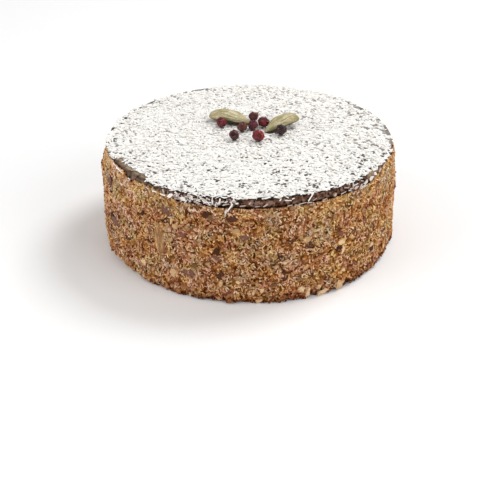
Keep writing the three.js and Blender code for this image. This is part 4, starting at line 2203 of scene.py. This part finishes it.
@dataclass(frozen=True)
class Berry:
    """One dried berry: unevenly shrunk and wrinkled, with a sunken crown that holds a dry star.

    Attributes:
        node: The CAD node that it stands for.
        ripeness: Its colour.
        crown: The direction that its crown faces.
        seed: For its wrinkles.
    """

    node: str
    ripeness: Ripeness
    crown: tuple[float, float, float]
    seed: int

    def skin_height(self, direction: Vector) -> tuple[float, float]:
        """Radius of the skin in a direction, for a berry of radius 1, and how deep it lies in a fold.

        Args:
            direction: A unit vector from the berry's middle.

        Returns:
            The radius, and how deep in a fold the skin is, from 0 to 1, which also sets painted shade.
        """
        offset = Vector((3.1 * self.seed, 1.7 * self.seed, 5.3 * self.seed))
        dents = noise.noise(1.3 * direction + offset)
        lobes = noise.noise(2.7 * direction + 2 * offset)
        folds = abs(noise.noise(3.4 * direction + offset))
        crease_shade = 1 - smooth(folds, 0.0, 0.2)
        near = direction.dot(Vector(self.crown).normalized())
        hollow = smooth(near, 0.82, 0.97)
        collar = smooth(near, 0.62, 0.82) * (1 - hollow)
        swell = 0.17 * dents + 0.12 * lobes + 0.04 * collar
        radius = 0.96 + swell - 0.075 * crease_shade - 0.22 * hollow
        return radius, max(crease_shade, hollow)

    def build(self) -> bpy.types.Object:
        """Models the berry in its solid's place.

        Returns:
            The berry.
        """
        low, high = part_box(self.node)
        middle, half = (low + high) / 2, (high - low) / 2
        bm = bmesh.new()
        bmesh.ops.create_icosphere(bm, subdivisions=5, radius=1.0)
        crease_shades = []
        for vertex in bm.verts:
            direction = vertex.co.normalized()
            radius, crease_shade = self.skin_height(direction)
            vertex.co = direction * radius
            # Painted shade: the skin is darkened in its folds and the crown's hollow, and on its
            # underside.
            crease_shades.append(max(crease_shade, smooth(-direction.z, 0.0, 0.8)))
        self.add_star(bm, crease_shades)
        bmesh.ops.scale(bm, verts=bm.verts, vec=half)
        bmesh.ops.translate(bm, verts=bm.verts, vec=middle)
        piece = object_from_bmesh(f"dried_{self.node}", bm)
        point_values(piece, "crease_shade", crease_shades)
        return piece

    def add_star(self, bm: bmesh.types.BMesh, crease_shades: list[float]) -> None:
        """Adds the small dry star in the crown.

        Args:
            bm: The berry, of radius 1, which gains the star's points.
            crease_shades: How much painted shade darkens each point, made longer for the star.
        """
        crown = Vector(self.crown).normalized()
        facing = crown.to_track_quat("Z", "Y").to_matrix().to_4x4()
        points = 5
        for i in range(points):
            place = (
                Matrix.Translation(0.74 * crown)
                @ facing
                @ Matrix.Rotation(FULL_TURN * i / points, 4, "Z")
                @ Matrix.Translation((0.13, 0, 0.05))
                @ Matrix.Rotation(math.radians(68), 4, "Y")
            )
            made = bmesh.ops.create_cone(
                bm,
                cap_ends=True,
                segments=6,
                radius1=0.07,
                radius2=0.015,
                depth=0.26,
                matrix=place,
            )
            crease_shades.extend(0.4 for _ in made["verts"])


@dataclass(frozen=True)
class GreenSeed:
    """One plump ribbed seed, blunt at one end and pointed at the other, arched along its back.

    Attributes:
        node: The CAD node that it stands for.
        width: Its width in millimetres.
        taper: How much slimmer its pointed end is, as a share of the width.
        lift: How much its blunt end is lifted, in degrees.
        arch: How high its back is arched, in millimetres.
        seed: For its unevenness.
        shaded: How high up its side the brown painted shade of its underside begins, on a unit ball.
        length: Its length in millimetres.
        depth: Its thickness in millimetres.
        ribs: How many ribs run along it.
    """

    node: str
    width: float
    taper: float
    lift: float
    arch: float
    seed: int
    shaded: float = 0.1
    length: float = 17.2
    depth: float = 5.2
    ribs: int = 11

    def build(self) -> bpy.types.Object:
        """Models the seed in its solid's place.

        Returns:
            The seed.
        """
        bm = bmesh.new()
        bmesh.ops.create_uvsphere(bm, u_segments=88, v_segments=56, radius=1.0)
        bmesh.ops.rotate(bm, verts=bm.verts, matrix=Matrix.Rotation(math.pi / 2, 3, "Y"))
        streaks, under_shades = [], []
        for vertex in bm.verts:
            # Painted shade: how much the underside is darkened.
            under_shades.append(smooth(-vertex.co.z, -self.shaded, 0.55))
            streaks.append(self.shape_point(vertex.co))
        turned = Matrix.Rotation(math.radians(SEED_TURNS[self.node]), 3, "Z") @ Matrix.Rotation(
            math.radians(self.lift), 3, "Y"
        )
        bmesh.ops.rotate(bm, verts=bm.verts, matrix=turned)
        self.lay_in_place(bm)
        piece = object_from_bmesh(f"green_{self.node}", bm)
        point_values(piece, "streak", streaks)
        point_values(piece, "under", under_shades)
        return piece

    def shape_point(self, point: Vector) -> float:
        """Moves a point of a unit ball to the seed's surface, in metres.

        Args:
            point: The point, changed in place.

        Returns:
            How light the husk's streak is there, from 0 to 1.
        """
        along = point.x
        around = math.atan2(point.z, point.y)
        uneven = noise.noise(Vector((2.2 * along, 1.3 * point.y, 1.3 * point.z + self.seed)))
        fibre = noise.noise(
            Vector((1.9 * along, 8 * math.cos(around), 8 * math.sin(around) + 3 * self.seed))
        )
        slim = 1 - self.taper * smooth(along, 0.3, 1)
        blunt = math.sqrt(1 + along * along / (1 - along)) if along < 0 else 1.0
        rib = 0.5 + 0.5 * math.cos(self.ribs * around + 0.8 * along + 2.5 * uneven)
        body = slim * blunt * (1 + 0.02 * (rib - 0.5) + 0.03 * fibre + 0.09 * uneven)
        belly = 0.8 if point.z < 0 else 1.0
        point.y *= 0.5 * self.width * body * MM
        point.z *= 0.5 * self.depth * body * belly * MM
        point.x *= 0.5 * self.length * (1 + 0.06 * max(0.0, along) ** 6) * MM
        point.z -= self.arch * along * along * MM
        return min(1.0, max(0.0, 0.25 * rib + 0.4 + 0.9 * fibre))

    def lay_in_place(self, bm: bmesh.types.BMesh) -> None:
        """Moves the seed to where its solid lies.

        Args:
            bm: The seed, already turned, which is moved.
        """
        low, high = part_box(self.node)
        places = np.array([vertex.co[:] for vertex in bm.verts])
        middle = (places.min(0) + places.max(0)) / 2
        shift = Vector(
            (
                (low.x + high.x) / 2 - middle[0],
                (low.y + high.y) / 2 - middle[1],
                low.z - places[:, 2].min(),
            )
        )
        bmesh.ops.translate(bm, verts=bm.verts, vec=shift)


@dataclass
class Sprig:
    """The berries and seeds that lie on the coconut like a sprig of holly."""

    berries: tuple[Berry, ...] = (
        Berry("berry_1", Ripeness.CLARET, (-0.4, -0.3, 0.9), 1),
        Berry("berry_2", Ripeness.DARK, (-0.3, -0.8, 0.5), 2),
        Berry("berry_3", Ripeness.BROWNED, (-0.6, 0.4, 0.7), 3),
        Berry("berry_4", Ripeness.RUSSET, (0.2, 0.5, 0.8), 4),
        Berry("berry_5", Ripeness.PURPLE, (0.1, -0.2, 1.0), 5),
        Berry("berry_6", Ripeness.CLARET, (0.7, -0.2, 0.7), 6),
        Berry("berry_7", Ripeness.SCARLET, (0.2, -0.9, 0.4), 7),
        Berry("berry_8", Ripeness.BLACKENED, (-0.1, -0.7, 0.7), 8),
    )
    seeds: tuple[GreenSeed, ...] = (
        GreenSeed("seed_left", width=7.4, taper=0.22, lift=5, arch=1.3, seed=1),
        GreenSeed("seed_right", width=6.6, taper=0.36, lift=7, arch=1.4, seed=2, shaded=0.4),
    )

    def build(self) -> None:
        """Builds the toppings and dresses them."""
        skins = {ripeness: BerrySkin(ripeness).material() for ripeness in Ripeness}
        for berry in self.berries:
            settle(berry.build(), skins[berry.ripeness], "berry", berry.node)
        husk = SeedHusk().material()
        for seed in self.seeds:
            settle(seed.build(), husk, "seed", seed.node)


# The studio


@dataclass(frozen=True)
class SoftBox:
    """A square studio light that faces the cake, in metres, degrees and watts."""

    name: str
    azimuth: float
    elevation: float
    distance: float
    size: float
    power: float

    def hang(self) -> None:
        """Adds the light."""
        azimuth, elevation = math.radians(self.azimuth), math.radians(self.elevation)
        out = Vector(
            (
                math.cos(elevation) * math.sin(azimuth),
                -math.cos(elevation) * math.cos(azimuth),
                math.sin(elevation),
            )
        )
        light = bpy.data.lights.new(self.name, "AREA")
        light.size = self.size
        light.energy = self.power
        lamp = bpy.data.objects.new(self.name, light)
        lamp.location = self.distance * out
        lamp.rotation_euler = out.to_track_quat("Z", "Y").to_euler()
        bpy.context.scene.collection.objects.link(lamp)


@dataclass
class Studio:
    """A plain pale floor, soft light, and the camera.

    Attributes:
        distance: From the camera to the point that it looks at.
        elevation: How steeply it looks down, in degrees.
        aim_height: Height of the point that it looks at, on the cake's axis.
        lens: Its focal length in millimetres.
        film: Width of its film in millimetres.
    """

    distance: float = 0.43526
    elevation: float = 29.6
    aim_height: float = -0.01044
    lens: float = 72.13
    film: float = 36.0
    floor_size: float = 4.0
    floor_colour: Colour = (0.95, 0.95, 0.95)
    sky: float = 0.47
    lights: tuple[SoftBox, ...] = field(
        default_factory=lambda: (
            SoftBox("key", azimuth=125, elevation=55, distance=1.1, size=0.4, power=5.9),
            SoftBox("right", azimuth=56, elevation=28, distance=1.2, size=0.9, power=5.3),
            SoftBox("left", azimuth=-70, elevation=28, distance=1.2, size=0.9, power=5.3),
        )
    )

    def build(self) -> None:
        """Lays the floor, hangs the lights and sets the camera."""
        self.lay_floor()
        for light in self.lights:
            light.hang()
        world = bpy.data.worlds.new("studio")
        world.use_nodes = True
        world.node_tree.nodes["Background"].inputs["Color"].default_value = (1, 1, 1, 1)
        world.node_tree.nodes["Background"].inputs["Strength"].default_value = self.sky
        scene = bpy.context.scene
        scene.world = world
        scene.view_settings.view_transform = "Standard"
        scene.view_settings.look = "None"
        self.set_camera(scene)

    def lay_floor(self) -> None:
        """Adds the floor, which is not part of the cake."""
        bm = bmesh.new()
        bmesh.ops.create_grid(bm, x_segments=1, y_segments=1, size=self.floor_size / 2)
        floor = object_from_bmesh("floor", bm)
        board = ShaderBoard("floor")
        board.dress((*self.floor_colour, 1.0), 0.9, gloss=0.1)
        floor.data.materials.append(board.material)

    def set_camera(self, scene: bpy.types.Scene) -> None:
        """Aims the camera at the cake from in front and above.

        Args:
            scene: The scene that it is set in.
        """
        elevation = math.radians(self.elevation)
        back = Vector((0, -math.cos(elevation), math.sin(elevation)))
        camera_data = bpy.data.cameras.new("camera")
        camera_data.sensor_width = self.film
        camera_data.lens = self.lens
        camera = bpy.data.objects.new("camera", camera_data)
        camera.location = Vector((0, 0, self.aim_height)) + self.distance * back
        camera.rotation_euler = Euler((math.pi / 2 - elevation, 0, 0))
        scene.collection.objects.link(camera)
        scene.camera = camera


def main() -> None:
    """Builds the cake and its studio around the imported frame."""
    logging.basicConfig(level=logging.INFO, format="%(name)s %(message)s")
    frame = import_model()
    LOG.info("frame: %d nodes", len(frame["nodes"]))
    cake = CakeMeasures.from_frame()
    LOG.info("measures: %s", cake)
    Studio().build()
    CrumbBody(cake).build()
    IcingSlab(cake).build()
    Coconut(cake).build()
    Sprig().build()


if __name__ == "__main__":
    main()
